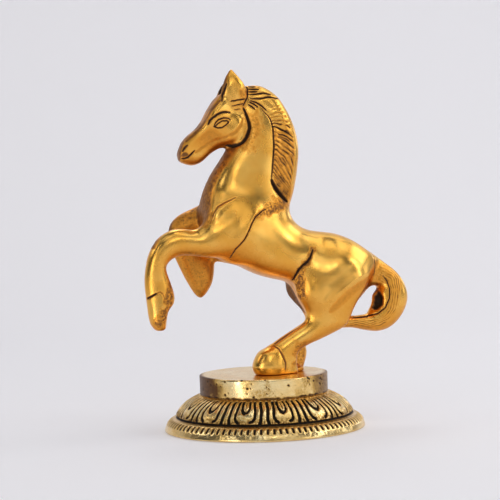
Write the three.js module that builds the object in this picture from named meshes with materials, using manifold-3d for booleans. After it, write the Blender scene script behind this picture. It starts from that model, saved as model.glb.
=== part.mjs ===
// A rearing horse statue on a round pedestal: a small cast metal figurine, gold plated.
//
// The horse is brazed together from four castings: the body, the two forelegs and the tail.
// Two screws come up through the hollow pedestal into its hind hooves. The pedestal is a plain
// round cap on a petal skirt, closed underneath by a board with a felt pad.
//
// Millimetres. +Z is up, the horse faces -X, and -Y is its left side. The origin is the middle
// of the felt's underside.

import * as THREE from "three";
import { mergeVertices } from "three/addons/utils/BufferGeometryUtils.js";
import Module from "manifold-3d";

const wasm = await Module();
wasm.setup();

// Clearances
const brazeGap = 0.3; // what the brazing alloy fills between two castings
const screwGap = 0.3; // round a screw in its hole
const seatGap = 0.05; // between two flat faces that rest on each other

// Pedestal
const feltThickness = 1;
const boardThickness = 2;
const boardGap = 0.3; // round the board in its rebate
const ledgeWidth = 2.8; // what the board is glued up against
const rimLift = 0.3; // how far the rim stays above the table
const capRadius = 25;
const capHeight = 7.5;
const capWall = 2.8;
const capChamfer = 0.5;
const domeSpread = 9.9; // from the cap out to the foot of the petals
const domeHeight = 8.3;
const skirtWall = 2.6; // behind the deepest groove
const rimSpread = 4.1; // from the foot of the petals out to the edge
const rimHeight = 5.5;
const petalCount = 14;
const petalRelief = 1.2;
const petalReach = 0.66; // half a petal's width, as a share of half its pitch
const beadCount = 56;
const beadRelief = 0.5;

// Fasteners: two pan head screws, M4
const screwRadius = 2;
const screwBite = 6; // how far a screw goes into a hoof
const screwHeadRadius = 3.6;
const screwHeadHeight = 2.4;
const recessDepth = 1.3;
const recessWidth = 0.9;
const recessLength = 4;
const washerRadius = 4.6;
const washerThickness = 0.8;

// Dowels that place the brazed castings
const dowelRadius = 2;
const dowelLength = 12;

// Fineness of the facets
const turnSides = 48;
const smallSides = 20;
const limbSides = 14;
const bodySides = 22;
const ringsPerStation = 2;

// Places that follow from the pedestal's sizes
const domeRadius = capRadius + domeSpread;
const rimRadius = domeRadius + rimSpread;
const hollowRadius = domeRadius - petalRelief - skirtWall;
const rebateRadius = hollowRadius + ledgeWidth;
const boardRadius = rebateRadius - boardGap;
const skirtTop = rimHeight + domeHeight;
const skirtCeiling = skirtTop - petalRelief - skirtWall;
const capFoot = skirtTop + seatGap;
const capTop = capFoot + capHeight;
const hoofPlane = capTop + seatGap;
const boardFoot = feltThickness + seatGap;
const boardTop = boardFoot + boardThickness;
const ledgeFoot = boardTop + seatGap;

// Outlines of the horse, seen from its left side. Each row is one cross-section:
// [back edge x, z,  front edge x, z,  middle y,  half width]
// with z above the hooves. "Back" is the side of the mane, spine and tail.

const trunkAndNeck = [
  [47.6, 42.0, 45.4, 37.4, 0, 2.0],
  [46.4, 43.6, 41.6, 34.0, 0, 5.6],
  [42.6, 46.2, 35.5, 32.2, 0, 8.8],
  [36.6, 50.4, 27.0, 30.0, 0, 11.0],
  [30.0, 53.2, 18.0, 31.6, 0, 11.6],
  [24.0, 54.1, 10.6, 34.9, 0, 11.4],
  [18.6, 55.3, 4.0, 36.6, 0, 11.8],
  [14.6, 58.0, -2.5, 38.8, 0, 12.2],
  [12.3, 62.2, -9.2, 42.4, 0, 12.3],
  [12.4, 66.4, -16.2, 47.6, 0, 12.0],
  [13.2, 70.4, -21.6, 55.4, 0, 11.2],
  [14.2, 75.0, -23.0, 64.4, 0, 10.0],
  [15.2, 80.4, -19.8, 72.8, 0, 8.9],
  [15.6, 86.0, -16.0, 78.6, 0, 8.1],
  [15.0, 91.6, -12.8, 83.2, 0, 7.4],
  [13.0, 97.4, -10.4, 87.6, 0, 6.9],
  [9.6, 103.0, -9.0, 91.6, 0, 6.4],
  [5.0, 107.4, -8.6, 95.6, 0, 5.8],
  [-1.0, 110.0, -8.6, 99.6, 0, 5.0],
  [-6.4, 109.8, -9.5, 102.6, 0, 3.6],
];

const head = [
  [-3.6, 101.0, -9.0, 110.2, 0, 3.0],
  [-3.2, 96.0, -14.6, 107.6, 0, 5.0],
  [-4.4, 91.2, -18.2, 103.0, 0, 5.9],
  [-9.0, 87.6, -20.6, 98.8, 0, 5.7],
  [-13.8, 87.7, -23.2, 95.5, 0, 4.8],
  [-17.4, 86.0, -26.0, 93.3, 0, 4.1],
  [-20.3, 83.3, -28.4, 91.0, 0, 3.7],
  [-22.8, 81.7, -30.1, 88.1, 0, 3.7],
  [-25.4, 81.5, -30.8, 85.5, 0, 3.4],
  [-27.8, 82.4, -30.4, 83.7, 0, 2.2],
];

const ear = [
  [-6.2, 99.5, -12.4, 99.5, 3.2, 1.8],
  [-4.6, 104.4, -13.8, 104.6, 3.8, 2.3],
  [-4.4, 108.4, -13.7, 108.8, 4.2, 2.5],
  [-5.4, 111.6, -12.9, 112.0, 4.4, 2.2],
  [-7.4, 114.8, -11.8, 115.0, 4.3, 1.5],
  [-9.2, 117.8, -10.2, 117.8, 4.1, 0.4],
];

const mane = [
  [-3.5, 111.4, -4.0, 105.0, 0, 2.6],
  [2.6, 111.2, -0.5, 103.0, 0, 4.0],
  [8.4, 107.6, 3.0, 100.4, 0, 4.8],
  [12.2, 102.1, 4.6, 97.6, 0, 5.4],
  [15.2, 95.2, 5.4, 93.2, 0, 5.9],
  [16.7, 87.2, 5.6, 87.6, 0, 6.3],
  [16.1, 79.8, 5.0, 81.8, 0, 6.7],
  [14.9, 73.2, 4.5, 76.4, 0, 6.9],
  [13.6, 68.2, 7.0, 71.0, 0, 5.8],
  [12.5, 64.6, 10.4, 65.8, 0, 2.6],
];

// The thigh and gaskin are alike on both sides. The right one is set further back.
const rightLegSetBack = 4.5;
const thighAndHock = [
  [44.0, 41.0, 28.0, 51.0, 5.0, 3.0],
  [40.5, 37.5, 20.0, 46.0, 7.0, 5.0],
  [36.0, 34.2, 13.8, 38.4, 7.8, 5.7],
  [31.6, 30.4, 11.8, 31.6, 8.0, 5.5],
  [28.8, 26.8, 13.8, 27.0, 7.8, 4.8],
  [28.8, 22.8, 15.6, 24.0, 7.5, 4.3],
  [30.2, 18.6, 15.9, 20.8, 7.3, 4.1],
  [27.0, 14.9, 14.0, 18.6, 7.1, 3.9],
  [21.5, 12.7, 9.8, 16.2, 6.9, 3.7],
];

const leftPastern = [
  [16.2, 10.2, 5.0, 13.0, 6.7, 3.8],
  [12.0, 7.2, 0.2, 10.4, 6.6, 4.2],
  [9.6, 4.2, -3.4, 7.3, 6.5, 4.8],
  [8.8, 1.8, -5.3, 3.6, 6.5, 5.1],
  [8.4, 0.0, -5.6, 0.0, 6.5, 4.9],
];

const rightPastern = [
  [18.6, 10.4, 7.6, 14.0, 6.8, 3.8],
  [17.4, 7.0, 5.6, 10.4, 6.8, 4.2],
  [17.6, 4.0, 4.4, 6.6, 6.8, 4.7],
  [17.9, 1.8, 3.8, 3.2, 6.8, 5.0],
  [17.6, 0.0, 3.6, 0.0, 6.8, 4.8],
];

// Metal between the thighs, down to the hocks, where the tail comes back to the legs
const crotch = [
  [47.0, 37.0, 36.0, 45.0, 0, 4.6],
  [44.0, 30.4, 30.0, 38.0, 0, 6.0],
  [39.6, 25.8, 24.0, 31.0, 0, 6.0],
  [35.8, 21.9, 21.0, 25.0, 0, 5.6],
  [32.4, 19.4, 20.6, 21.0, 0, 5.2],
  [29.0, 17.0, 21.0, 18.4, 0, 4.6],
];

const leftForeleg = [
  [1.4, 63.6, -9.6, 69.8, 7.6, 1.6],
  [-2.6, 59.4, -15.4, 68.0, 8.8, 3.4],
  [-7.0, 53.2, -20.4, 64.2, 9.8, 4.6],
  [-12.2, 48.2, -23.2, 59.8, 10.4, 4.9],
  [-20.6, 46.0, -26.4, 56.8, 10.2, 4.7],
  [-27.0, 46.8, -31.0, 57.2, 10.0, 4.6],
  [-32.0, 47.2, -36.0, 56.9, 9.9, 4.5],
  [-36.0, 45.9, -41.0, 54.0, 9.8, 4.4],
  [-38.2, 43.4, -44.6, 48.6, 9.7, 4.2],
  [-38.0, 40.6, -46.3, 42.2, 9.6, 4.0],
  [-36.8, 37.0, -46.7, 36.6, 9.5, 3.9],
  [-35.6, 32.6, -46.3, 31.5, 9.4, 4.1],
  [-35.8, 29.4, -46.0, 28.0, 9.4, 4.2],
  [-38.0, 26.3, -45.6, 24.5, 9.4, 4.1],
  [-38.8, 22.8, -44.8, 21.3, 9.4, 3.9],
  [-39.2, 20.1, -43.6, 19.9, 9.4, 3.1],
];

const rightForeleg = [
  [1.4, 63.6, -9.6, 69.8, 7.6, 1.6],
  [-3.6, 57.6, -15.6, 68.2, 9.0, 3.6],
  [-10.6, 51.6, -21.2, 66.0, 9.8, 4.5],
  [-18.2, 51.4, -26.0, 64.0, 9.6, 4.5],
  [-22.2, 52.0, -30.5, 61.6, 9.4, 4.3],
  [-23.4, 50.8, -33.6, 57.6, 9.2, 4.2],
  [-21.6, 48.8, -33.9, 52.0, 9.0, 4.0],
  [-18.6, 46.2, -32.2, 46.8, 8.9, 4.0],
  [-17.0, 42.4, -30.4, 42.2, 8.8, 3.9],
  [-17.2, 38.0, -28.2, 37.6, 8.8, 3.7],
  [-18.4, 33.8, -25.8, 33.2, 8.8, 3.1],
  [-20.9, 30.4, -23.8, 29.9, 8.8, 1.8],
];

const tail = [
  [44.6, 43.6, 38.4, 34.6, 0, 3.6],
  [49.8, 41.2, 43.8, 32.6, 0, 4.2],
  [54.3, 37.8, 47.2, 31.4, 0, 4.8],
  [57.6, 33.6, 48.8, 29.8, 0, 5.2],
  [59.3, 28.6, 49.2, 27.6, 0, 5.5],
  [58.8, 24.0, 48.8, 25.2, 0, 5.6],
  [56.2, 19.2, 47.6, 23.2, 0, 5.4],
  [52.0, 15.4, 45.6, 22.0, 0, 5.0],
  [46.8, 13.9, 43.0, 21.2, 0, 4.5],
  [41.3, 14.6, 39.8, 20.6, 0, 3.9],
  [36.0, 15.8, 36.0, 20.4, 0, 3.3],
  [30.0, 15.8, 30.0, 20.0, 0, 2.8],
];

const eye = { x: -14.4, z: 97.0, y: 5.1, length: 2.6, height: 1.7, bulge: 1.0, tilt: 0.45 };

// Places of the dowels, each [x, y, z] above the hooves, and the way each one points
const leftDowel = { at: [-20, -11, 51.5], towards: [1, 0.35, 0.1] };
const rightDowel = { at: [-22, 11, 57.5], towards: [1, -0.35, 0] };
const tailDowel = { at: [49.5, 0, 38.6], towards: [-1, 0, 0.1] };

// The screws stand in the middle of each hoof.
const leftHoof = { x: 1.6, y: -6.5 };
const rightHoof = { x: 10.7, y: 6.8 };

const plated = { color: 0xd9a136, metalness: 1, roughness: 0.28 };
const antiqued = { color: 0xb98a3c, metalness: 1, roughness: 0.42 };
const steel = { color: 0xb9bcc0, metalness: 1, roughness: 0.35 };
const brown = { color: 0x6b4a2f, metalness: 0, roughness: 0.9 };
const felt = { color: 0x1e1d22, metalness: 0, roughness: 1 };

// Solids

function solidOf(geometry) {
  const bare = geometry.index ? geometry.toNonIndexed() : geometry.clone();
  bare.deleteAttribute("normal");
  bare.deleteAttribute("uv");
  const merged = mergeVertices(bare, 1e-4);
  const mesh = new wasm.Mesh({
    numProp: 3,
    vertProperties: new Float32Array(merged.attributes.position.array),
    triVerts: new Uint32Array(merged.index.array),
  });
  return new wasm.Manifold(mesh);
}

function geometryOf(solid) {
  const mesh = solid.getMesh();
  const geometry = new THREE.BufferGeometry();
  geometry.setAttribute("position", new THREE.BufferAttribute(mesh.vertProperties.slice(), 3));
  geometry.setIndex(new THREE.BufferAttribute(mesh.triVerts.slice(), 1));
  geometry.computeVertexNormals();
  return geometry;
}

function join(solids) {
  return solids.reduce((whole, next) => whole.add(next));
}

function cut(solid, tools) {
  return tools.reduce((left, tool) => left.subtract(tool), solid);
}

// A closed skin over rings of points, with each end drawn together in its middle.
function skin(rings) {
  const sides = rings[0].length;
  const points = rings.flat();
  const middle = (ring) => ring.reduce((sum, p) => sum.add(p), new THREE.Vector3()).divideScalar(sides);
  const faces = [];
  for (let i = 0; i + 1 < rings.length; i++) {
    for (let j = 0; j < sides; j++) {
      const here = i * sides + j;
      const beside = i * sides + ((j + 1) % sides);
      faces.push(here, beside, beside + sides, here, beside + sides, here + sides);
    }
  }
  const last = (rings.length - 1) * sides;
  const firstMiddle = points.push(middle(rings[0])) - 1;
  const lastMiddle = points.push(middle(rings[rings.length - 1])) - 1;
  for (let j = 0; j < sides; j++) {
    const next = (j + 1) % sides;
    faces.push(firstMiddle, next, j, lastMiddle, last + j, last + next);
  }
  const geometry = new THREE.BufferGeometry().setFromPoints(points);
  geometry.setIndex(faces);
  const solid = solidOf(geometry);
  if (solid.volume() > 0) return solid;
  for (let i = 0; i < faces.length; i += 3) [faces[i + 1], faces[i + 2]] = [faces[i + 2], faces[i + 1]];
  geometry.setIndex(faces);
  return solidOf(geometry);
}

// A limb through its cross-sections. side is -1 for the left of the horse and 1 for the right.
// grow widens it all round, and egg makes the back edge narrower than the front one.
function limb(rows, { side = 1, grow = 0, egg = 0, sides = limbSides, ripple = () => 0 } = {}) {
  const through = (points) => new THREE.CatmullRomCurve3(points, false, "catmullrom", 0.5);
  const backEdge = through(rows.map(([x, z]) => new THREE.Vector3(x, 0, z)));
  const frontEdge = through(rows.map(([, , x, z]) => new THREE.Vector3(x, 0, z)));
  const breadth = through(rows.map(([, , , , y, half]) => new THREE.Vector3(y * side, half, 0)));
  const steps = (rows.length - 1) * ringsPerStation;
  const rings = [];
  for (let i = 0; i <= steps; i++) {
    const t = i / steps;
    const back = backEdge.getPoint(t);
    const front = frontEdge.getPoint(t);
    const across = breadth.getPoint(t);
    const centre = back.clone().add(front).multiplyScalar(0.5);
    const reach = back.clone().sub(front).multiplyScalar(0.5);
    reach.setLength(reach.length() + grow);
    const half = across.y + grow;
    const ring = [];
    for (let j = 0; j < sides; j++) {
      const turn = (2 * Math.PI * j) / sides;
      const swell = 1 + ripple(t, turn);
      const sideways = half * Math.sin(turn) * (1 - egg * Math.cos(turn)) * swell;
      const point = centre.clone().addScaledVector(reach, Math.cos(turn) * swell);
      ring.push(point.setY(across.x + sideways));
    }
    rings.push(ring);
  }
  return skin(rings);
}

function turned(profile, sides = turnSides) {
  const points = profile.map(([r, z]) => new THREE.Vector2(r, z));
  return solidOf(new THREE.LatheGeometry(points, sides).rotateX(Math.PI / 2));
}

function disc(radius, foot, top) {
  return turned([[0, foot], [radius, foot], [radius, top], [0, top]]);
}

// A cylinder from one point along a direction.
function rod(at, towards, radius, length) {
  const way = new THREE.Vector3(...towards).normalize();
  const geometry = new THREE.CylinderGeometry(radius, radius, length, smallSides);
  geometry.applyQuaternion(new THREE.Quaternion().setFromUnitVectors(new THREE.Vector3(0, 1, 0), way));
  const middle = new THREE.Vector3(...at).addScaledVector(way, length / 2);
  return solidOf(geometry.translate(middle.x, middle.y, middle.z));
}

function dowel({ at, towards }, gap = 0) {
  return rod(at, towards, dowelRadius + gap, dowelLength + gap);
}

// Horse, with its hooves on z = 0

function maneLocks(t, turn) {
  const locks = 15;
  return 0.07 * Math.sin(2 * Math.PI * locks * t + 3 * Math.abs(Math.sin(turn / 2)));
}

function eyeball(side) {
  const geometry = new THREE.SphereGeometry(1, 12, 8);
  geometry.scale(eye.length, eye.bulge, eye.height);
  geometry.rotateY(-eye.tilt);
  return solidOf(geometry.translate(eye.x, eye.y * side, eye.z));
}

function setBack(rows) {
  return rows.map(([backX, backZ, frontX, frontZ, ...across]) =>
    [backX + rightLegSetBack, backZ, frontX + rightLegSetBack, frontZ, ...across]);
}

function bodyForm(grow = 0) {
  return join([
    limb(trunkAndNeck, { grow, egg: 0.22, sides: bodySides }),
    limb(crotch, { grow }),
    limb([...thighAndHock, ...leftPastern], { side: -1, grow }),
    limb([...setBack(thighAndHock), ...rightPastern], { side: 1, grow }),
  ]);
}

function screwHole({ x, y }) {
  return rod([x, y, -1], [0, 0, 1], screwRadius + screwGap, 1 + screwBite + screwGap);
}

function horseBody() {
  const whole = join([
    bodyForm(),
    limb(head, { egg: 0.12, sides: 18 }),
    limb(mane, { sides: 14, ripple: maneLocks }),
    limb(ear, { side: -1, sides: 10 }),
    limb(ear, { side: 1, sides: 10 }),
    eyeball(-1),
    eyeball(1),
  ]);
  const sockets = [leftDowel, rightDowel, tailDowel].map((place) => dowel(place, brazeGap));
  return cut(whole, [...sockets, screwHole(leftHoof), screwHole(rightHoof)]);
}

function brazed(form, place) {
  return form.subtract(bodyForm(brazeGap)).add(dowel(place));
}

function largest(solid) {
  return solid.decompose().reduce((best, next) => (next.volume() > best.volume() ? next : best));
}

const horseParts = {
  horse_body: horseBody(),
  foreleg_left: largest(brazed(limb(leftForeleg, { side: -1 }), leftDowel)),
  foreleg_right: largest(brazed(limb(rightForeleg, { side: 1 }), rightDowel)),
  tail: largest(brazed(limb(tail), tailDowel)),
};

// Pedestal, with the felt's underside on z = 0

// Raised petals round the dome, each a tongue with a thick edge and a dished middle, and a
// narrow rib between it and the next. down runs from 0 at the cap to 1 at the foot.
function petalHeight(turn, down) {
  const across = Math.abs((((turn * petalCount) / (2 * Math.PI)) % 1) - 0.5) * 2;
  const tongue = petalReach * Math.sqrt(Math.max(0, 1 - down ** 4));
  const inwards = tongue - across;
  const edge = THREE.MathUtils.smoothstep(inwards, -0.08, 0.08);
  const dish = 0.55 * THREE.MathUtils.smoothstep(inwards, 0.2, 0.4);
  const rib = 0.8 * THREE.MathUtils.smoothstep(across, 0.85, 0.95) * (1 - down ** 6);
  return petalRelief * Math.max(edge - dish, rib);
}

function beadHeight(turn) {
  return beadRelief * Math.max(0, Math.sin(turn * beadCount));
}

// The skirt's outside as rings of [radius, z], each worked out from how far round it is
function skirtOutside() {
  const columns = petalCount * 12;
  const domeRows = 8;
  const rimRows = 4;
  const rows = [() => [capRadius, skirtTop]];
  for (let i = 1; i <= domeRows; i++) {
    const down = i / domeRows;
    const out = Math.sin((down * Math.PI) / 2);
    const up = Math.cos((down * Math.PI) / 2);
    rows.push((turn) => {
      const sunk = petalRelief - petalHeight(turn, down);
      return [capRadius + (domeSpread - sunk) * out, rimHeight + (domeHeight - sunk) * up];
    });
  }
  for (let i = 0; i <= rimRows; i++) {
    const out = Math.sin(((i / rimRows) * Math.PI) / 2);
    const up = Math.cos(((i / rimRows) * Math.PI) / 2);
    const beaded = i === 1 || i === 2;
    rows.push((turn) => {
      const sunk = beaded ? beadHeight(turn) : 0;
      const top = rimHeight - beadRelief;
      return [domeRadius + rimSpread * out - sunk * out, rimLift + (top - rimLift) * up - sunk * up];
    });
  }
  const rings = rows.map((row) => {
    const ring = [];
    for (let j = 0; j < columns; j++) {
      const turn = (2 * Math.PI * j) / columns;
      const [r, z] = row(turn);
      ring.push(new THREE.Vector3(r * Math.cos(turn), r * Math.sin(turn), z));
    }
    return ring;
  });
  return skin(rings);
}

function skirtHollow() {
  const roofRadius = capRadius - skirtWall;
  const profile = [[0, -1], [rebateRadius, -1], [rebateRadius, ledgeFoot]];
  const steps = 6;
  for (let i = 0; i <= steps; i++) {
    const out = Math.cos(((i / steps) * Math.PI) / 2);
    const up = Math.sin(((i / steps) * Math.PI) / 2);
    const r = roofRadius + (hollowRadius - roofRadius) * out;
    profile.push([r, ledgeFoot + (skirtCeiling - ledgeFoot) * up]);
  }
  profile.push([0, skirtCeiling]);
  return turned(profile);
}

function hole({ x, y }, from, to) {
  return rod([x, y, from], [0, 0, 1], screwRadius + screwGap, to - from);
}

function petalSkirt() {
  const holes = [leftHoof, rightHoof].map((place) => hole(place, skirtCeiling - 1, skirtTop + 1));
  return cut(skirtOutside(), [skirtHollow(), ...holes]);
}

function plinthCap() {
  const inner = capRadius - capWall;
  const ceiling = capTop - capWall;
  const cap = turned([
    [0, ceiling],
    [inner, ceiling],
    [inner, capFoot],
    [capRadius, capFoot],
    [capRadius, capTop - capChamfer],
    [capRadius - capChamfer, capTop],
    [0, capTop],
  ], 72);
  const bosses = [leftHoof, rightHoof].map(({ x, y }) =>
    rod([x, y, capFoot], [0, 0, 1], washerRadius, capHeight - capWall / 2));
  const holes = [leftHoof, rightHoof].map((place) => hole(place, capFoot - 1, capTop + 1));
  return cut(join([cap, ...bosses]), holes);
}

function washer({ x, y }) {
  const top = skirtCeiling - seatGap;
  const ring = turned([
    [screwRadius + screwGap, top - washerThickness],
    [washerRadius, top - washerThickness],
    [washerRadius, top],
    [screwRadius + screwGap, top],
    [screwRadius + screwGap, top - washerThickness],
  ], smallSides);
  return ring.translate([x, y, 0]);
}

function hoofScrew({ x, y }) {
  const seat = skirtCeiling - washerThickness - 2 * seatGap;
  const tip = hoofPlane + screwBite;
  const foot = seat - screwHeadHeight;
  const round = turned([
    [0, foot],
    [screwHeadRadius * 0.7, foot],
    [screwHeadRadius, foot + screwHeadHeight * 0.45],
    [screwHeadRadius, seat],
    [screwRadius, seat],
    [screwRadius, tip - screwRadius * 0.4],
    [screwRadius * 0.6, tip],
    [0, tip],
  ], smallSides);
  const slot = (along, wide) =>
    solidOf(new THREE.BoxGeometry(along, wide, 2 * recessDepth).translate(0, 0, foot));
  const recess = slot(recessLength, recessWidth).add(slot(recessWidth, recessLength));
  return round.subtract(recess).translate([x, y, 0]);
}

const pedestalParts = {
  petal_skirt: petalSkirt(),
  plinth_cap: plinthCap(),
  washer_left: washer(leftHoof),
  washer_right: washer(rightHoof),
  hoof_screw_left: hoofScrew(leftHoof),
  hoof_screw_right: hoofScrew(rightHoof),
  base_board: disc(boardRadius, boardFoot, boardTop),
  felt_pad: disc(boardRadius, 0, feltThickness),
};

// Assembly

const finishes = {
  petal_skirt: antiqued,
  washer_left: steel,
  washer_right: steel,
  hoof_screw_left: steel,
  hoof_screw_right: steel,
  base_board: brown,
  felt_pad: felt,
};

function groupOf(parts) {
  const group = new THREE.Group();
  for (const [name, solid] of Object.entries(parts)) {
    const finish = new THREE.MeshStandardMaterial(finishes[name] ?? plated);
    const mesh = new THREE.Mesh(geometryOf(solid), finish);
    mesh.name = name;
    group.add(mesh);
  }
  return group;
}

const horse = groupOf(horseParts);
horse.position.z = hoofPlane;

const statue = new THREE.Group();
statue.add(groupOf(pedestalParts), horse);

export default statue;
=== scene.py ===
"""A small gilt horse rearing on a round pedestal with a skirt of petals.

The horse is sculpted in millimetres as one smooth field, from limbs whose cross-sections are
written below, and is then divided along its brazed seams into the body, the two forelegs and
the tail. The pedestal is turned and patterned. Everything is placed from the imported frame.
"""

import math

import bpy
import numpy as np
from mathutils import Matrix, Vector


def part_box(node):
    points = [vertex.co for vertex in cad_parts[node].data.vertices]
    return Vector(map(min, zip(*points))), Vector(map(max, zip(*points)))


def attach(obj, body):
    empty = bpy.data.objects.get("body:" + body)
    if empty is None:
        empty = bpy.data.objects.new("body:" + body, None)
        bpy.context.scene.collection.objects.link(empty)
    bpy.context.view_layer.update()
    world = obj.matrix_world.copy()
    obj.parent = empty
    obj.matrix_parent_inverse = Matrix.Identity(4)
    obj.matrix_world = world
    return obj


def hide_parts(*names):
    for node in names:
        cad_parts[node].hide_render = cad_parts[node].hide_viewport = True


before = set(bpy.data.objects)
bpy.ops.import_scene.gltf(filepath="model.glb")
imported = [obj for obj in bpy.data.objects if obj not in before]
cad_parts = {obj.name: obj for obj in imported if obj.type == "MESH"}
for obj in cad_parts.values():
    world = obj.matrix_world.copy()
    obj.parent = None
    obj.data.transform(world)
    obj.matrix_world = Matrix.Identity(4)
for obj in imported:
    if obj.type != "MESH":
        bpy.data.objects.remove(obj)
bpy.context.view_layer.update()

MM = 0.001
HOOF_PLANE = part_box("horse_body")[0].z / MM  # the tables below count heights from here
GRID = 0.58  # spacing of the sculpting grid
SEAM = 0.5  # how far the castings run into each other where they were brazed and dressed

# Camera: where the photograph was taken from, measured on the round pedestal

CAMERA_DISTANCE = 600.0
CAMERA_HEIGHT = 89.5
CAMERA_SIDESTEP = -3.6
CAMERA_TURN = math.radians(12.0)
CAMERA_PITCH = math.radians(1.93)
CAMERA_ROLL = math.radians(1.9)
FOCAL_PIXELS = 1545.0
PHOTO_PIXELS = 500
SENSOR = 36.0


def make_camera():
    flat = Vector((math.sin(CAMERA_TURN), math.cos(CAMERA_TURN), 0))
    side = Vector((math.cos(CAMERA_TURN), -math.sin(CAMERA_TURN), 0))
    up = Vector((0, 0, 1))
    forward = flat * math.cos(CAMERA_PITCH) - up * math.sin(CAMERA_PITCH)
    level = flat * math.sin(CAMERA_PITCH) + up * math.cos(CAMERA_PITCH)
    right = side * math.cos(CAMERA_ROLL) - level * math.sin(CAMERA_ROLL)
    top = side * math.sin(CAMERA_ROLL) + level * math.cos(CAMERA_ROLL)
    place = -flat * CAMERA_DISTANCE + side * CAMERA_SIDESTEP + up * CAMERA_HEIGHT
    data = bpy.data.cameras.new("camera")
    data.sensor_width = SENSOR
    data.lens = SENSOR * FOCAL_PIXELS / PHOTO_PIXELS
    data.clip_start = 0.01
    data.clip_end = 50
    camera = bpy.data.objects.new("camera", data)
    turn = Matrix((right, top, -forward)).transposed().to_4x4()
    camera.matrix_world = Matrix.Translation(place * MM) @ turn
    bpy.context.scene.collection.objects.link(camera)
    bpy.context.scene.camera = camera


make_camera()

# Limbs: rows of [back edge x, z,  front edge x, z,  middle y,  half width], in millimetres

TRUNK = [
    [47.6, 42.0, 45.4, 37.4, 0, 2.0],
    [46.4, 43.6, 41.6, 34.0, 0, 5.6],
    [42.6, 46.2, 35.5, 32.2, 0, 8.8],
    [36.6, 50.4, 27.0, 30.0, 0, 11.0],
    [30.0, 53.2, 18.0, 31.6, 0, 11.6],
    [24.0, 54.1, 10.6, 34.9, 0, 11.4],
    [18.6, 55.3, 4.0, 36.6, 0, 11.8],
    [14.6, 58.0, -2.5, 38.8, 0, 12.2],
    [12.3, 62.2, -9.2, 42.4, 0, 12.3],
    [12.4, 66.4, -16.2, 47.6, 0, 12.0],
    [13.2, 70.4, -21.6, 55.4, 0, 11.2],
    [14.2, 75.0, -23.0, 64.4, 0, 10.0],
    [15.2, 80.4, -20.8, 72.6, 0, 8.9],
    [15.6, 86.0, -17.9, 78.2, 0, 8.1],
    [15.0, 91.6, -14.4, 82.8, 0, 7.4],
    [13.0, 97.4, -11.4, 87.4, 0, 6.9],
    [9.6, 103.0, -9.0, 91.6, 0, 6.2],
    [5.0, 107.4, -8.6, 95.6, 0, 5.4],
    [-1.0, 110.0, -8.6, 99.6, 0, 4.6],
    [-6.4, 109.8, -9.5, 102.6, 0, 3.4],
]
HEAD = [
    [-3.6, 101.0, -9.0, 110.2, 0, 3.0],
    [-3.2, 96.0, -14.6, 107.6, 0, 5.0],
    [-4.4, 91.2, -18.2, 103.0, 0, 5.9],
    [-9.0, 87.6, -20.6, 98.8, 0, 5.7],
    [-13.8, 87.7, -23.2, 95.5, 0, 4.8],
    [-17.4, 86.0, -26.0, 93.3, 0, 4.1],
    [-20.3, 83.3, -28.4, 91.0, 0, 3.7],
    [-22.8, 81.7, -30.1, 88.1, 0, 3.7],
    [-25.4, 81.5, -30.8, 85.5, 0, 3.4],
    [-27.8, 82.4, -30.4, 83.7, 0, 2.2],
]
NEAR_EAR = [
    [-5.6, 99.5, -12.4, 99.5, 3.0, 1.8],
    [-4.0, 104.4, -13.8, 104.6, 3.7, 2.3],
    [-3.8, 108.4, -13.8, 108.8, 4.2, 2.5],
    [-4.8, 111.8, -13.0, 112.0, 4.4, 2.2],
    [-7.0, 114.8, -11.8, 115.0, 4.3, 1.5],
    [-9.2, 117.5, -10.2, 117.5, 4.1, 0.5],
]
FAR_EAR = [
    [-6.0, 99.5, -13.0, 99.5, 3.0, 1.8],
    [-4.6, 103.6, -15.4, 104.4, 3.7, 2.3],
    [-4.4, 107.4, -14.0, 108.2, 4.2, 2.5],
    [-5.2, 110.6, -12.4, 111.2, 4.4, 2.2],
    [-6.8, 113.4, -10.4, 113.8, 4.3, 1.5],
    [-8.0, 116.0, -9.0, 116.0, 4.1, 0.5],
]
MANE = [
    [-3.5, 111.4, -4.0, 105.0, 0, 2.6],
    [2.6, 111.2, -0.5, 103.0, 0, 4.0],
    [8.4, 107.6, 3.0, 100.4, 0, 4.8],
    [12.2, 102.1, 4.6, 97.6, 0, 5.4],
    [15.2, 95.2, 5.4, 93.2, 0, 5.9],
    [16.7, 87.2, 5.6, 87.6, 0, 6.3],
    [16.1, 79.8, 5.0, 81.8, 0, 6.7],
    [14.9, 73.2, 4.5, 76.4, 0, 6.9],
    [13.6, 68.2, 7.0, 71.0, 0, 5.8],
    [12.5, 64.6, 10.4, 65.8, 0, 2.6],
]
THIGH = [
    [43.6, 42.0, 28.6, 50.2, 4.6, 2.4],
    [42.2, 37.0, 20.0, 46.0, 6.8, 4.9],
    [40.2, 31.8, 13.8, 38.4, 7.7, 5.7],
    [37.6, 27.8, 11.8, 31.6, 7.9, 5.5],
    [35.2, 23.8, 13.8, 27.0, 7.7, 4.9],
    [33.6, 20.4, 15.6, 24.0, 7.5, 4.4],
    [31.8, 17.4, 15.9, 20.8, 7.3, 4.2],
    [27.0, 14.9, 14.0, 18.6, 7.1, 3.9],
    [21.5, 12.5, 9.8, 16.2, 6.9, 3.7],
]
LEFT_HIND_FOOT = [
    [16.2, 10.4, 5.0, 13.4, 6.7, 3.8],
    [12.7, 8.0, 1.2, 10.6, 6.6, 4.0],
    [12.0, 4.8, -1.4, 7.0, 6.5, 4.1],
    [12.1, 2.4, -2.6, 3.4, 6.5, 4.0],
    [12.5, 0.0, -2.6, 0.0, 6.5, 4.0],
]
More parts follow.
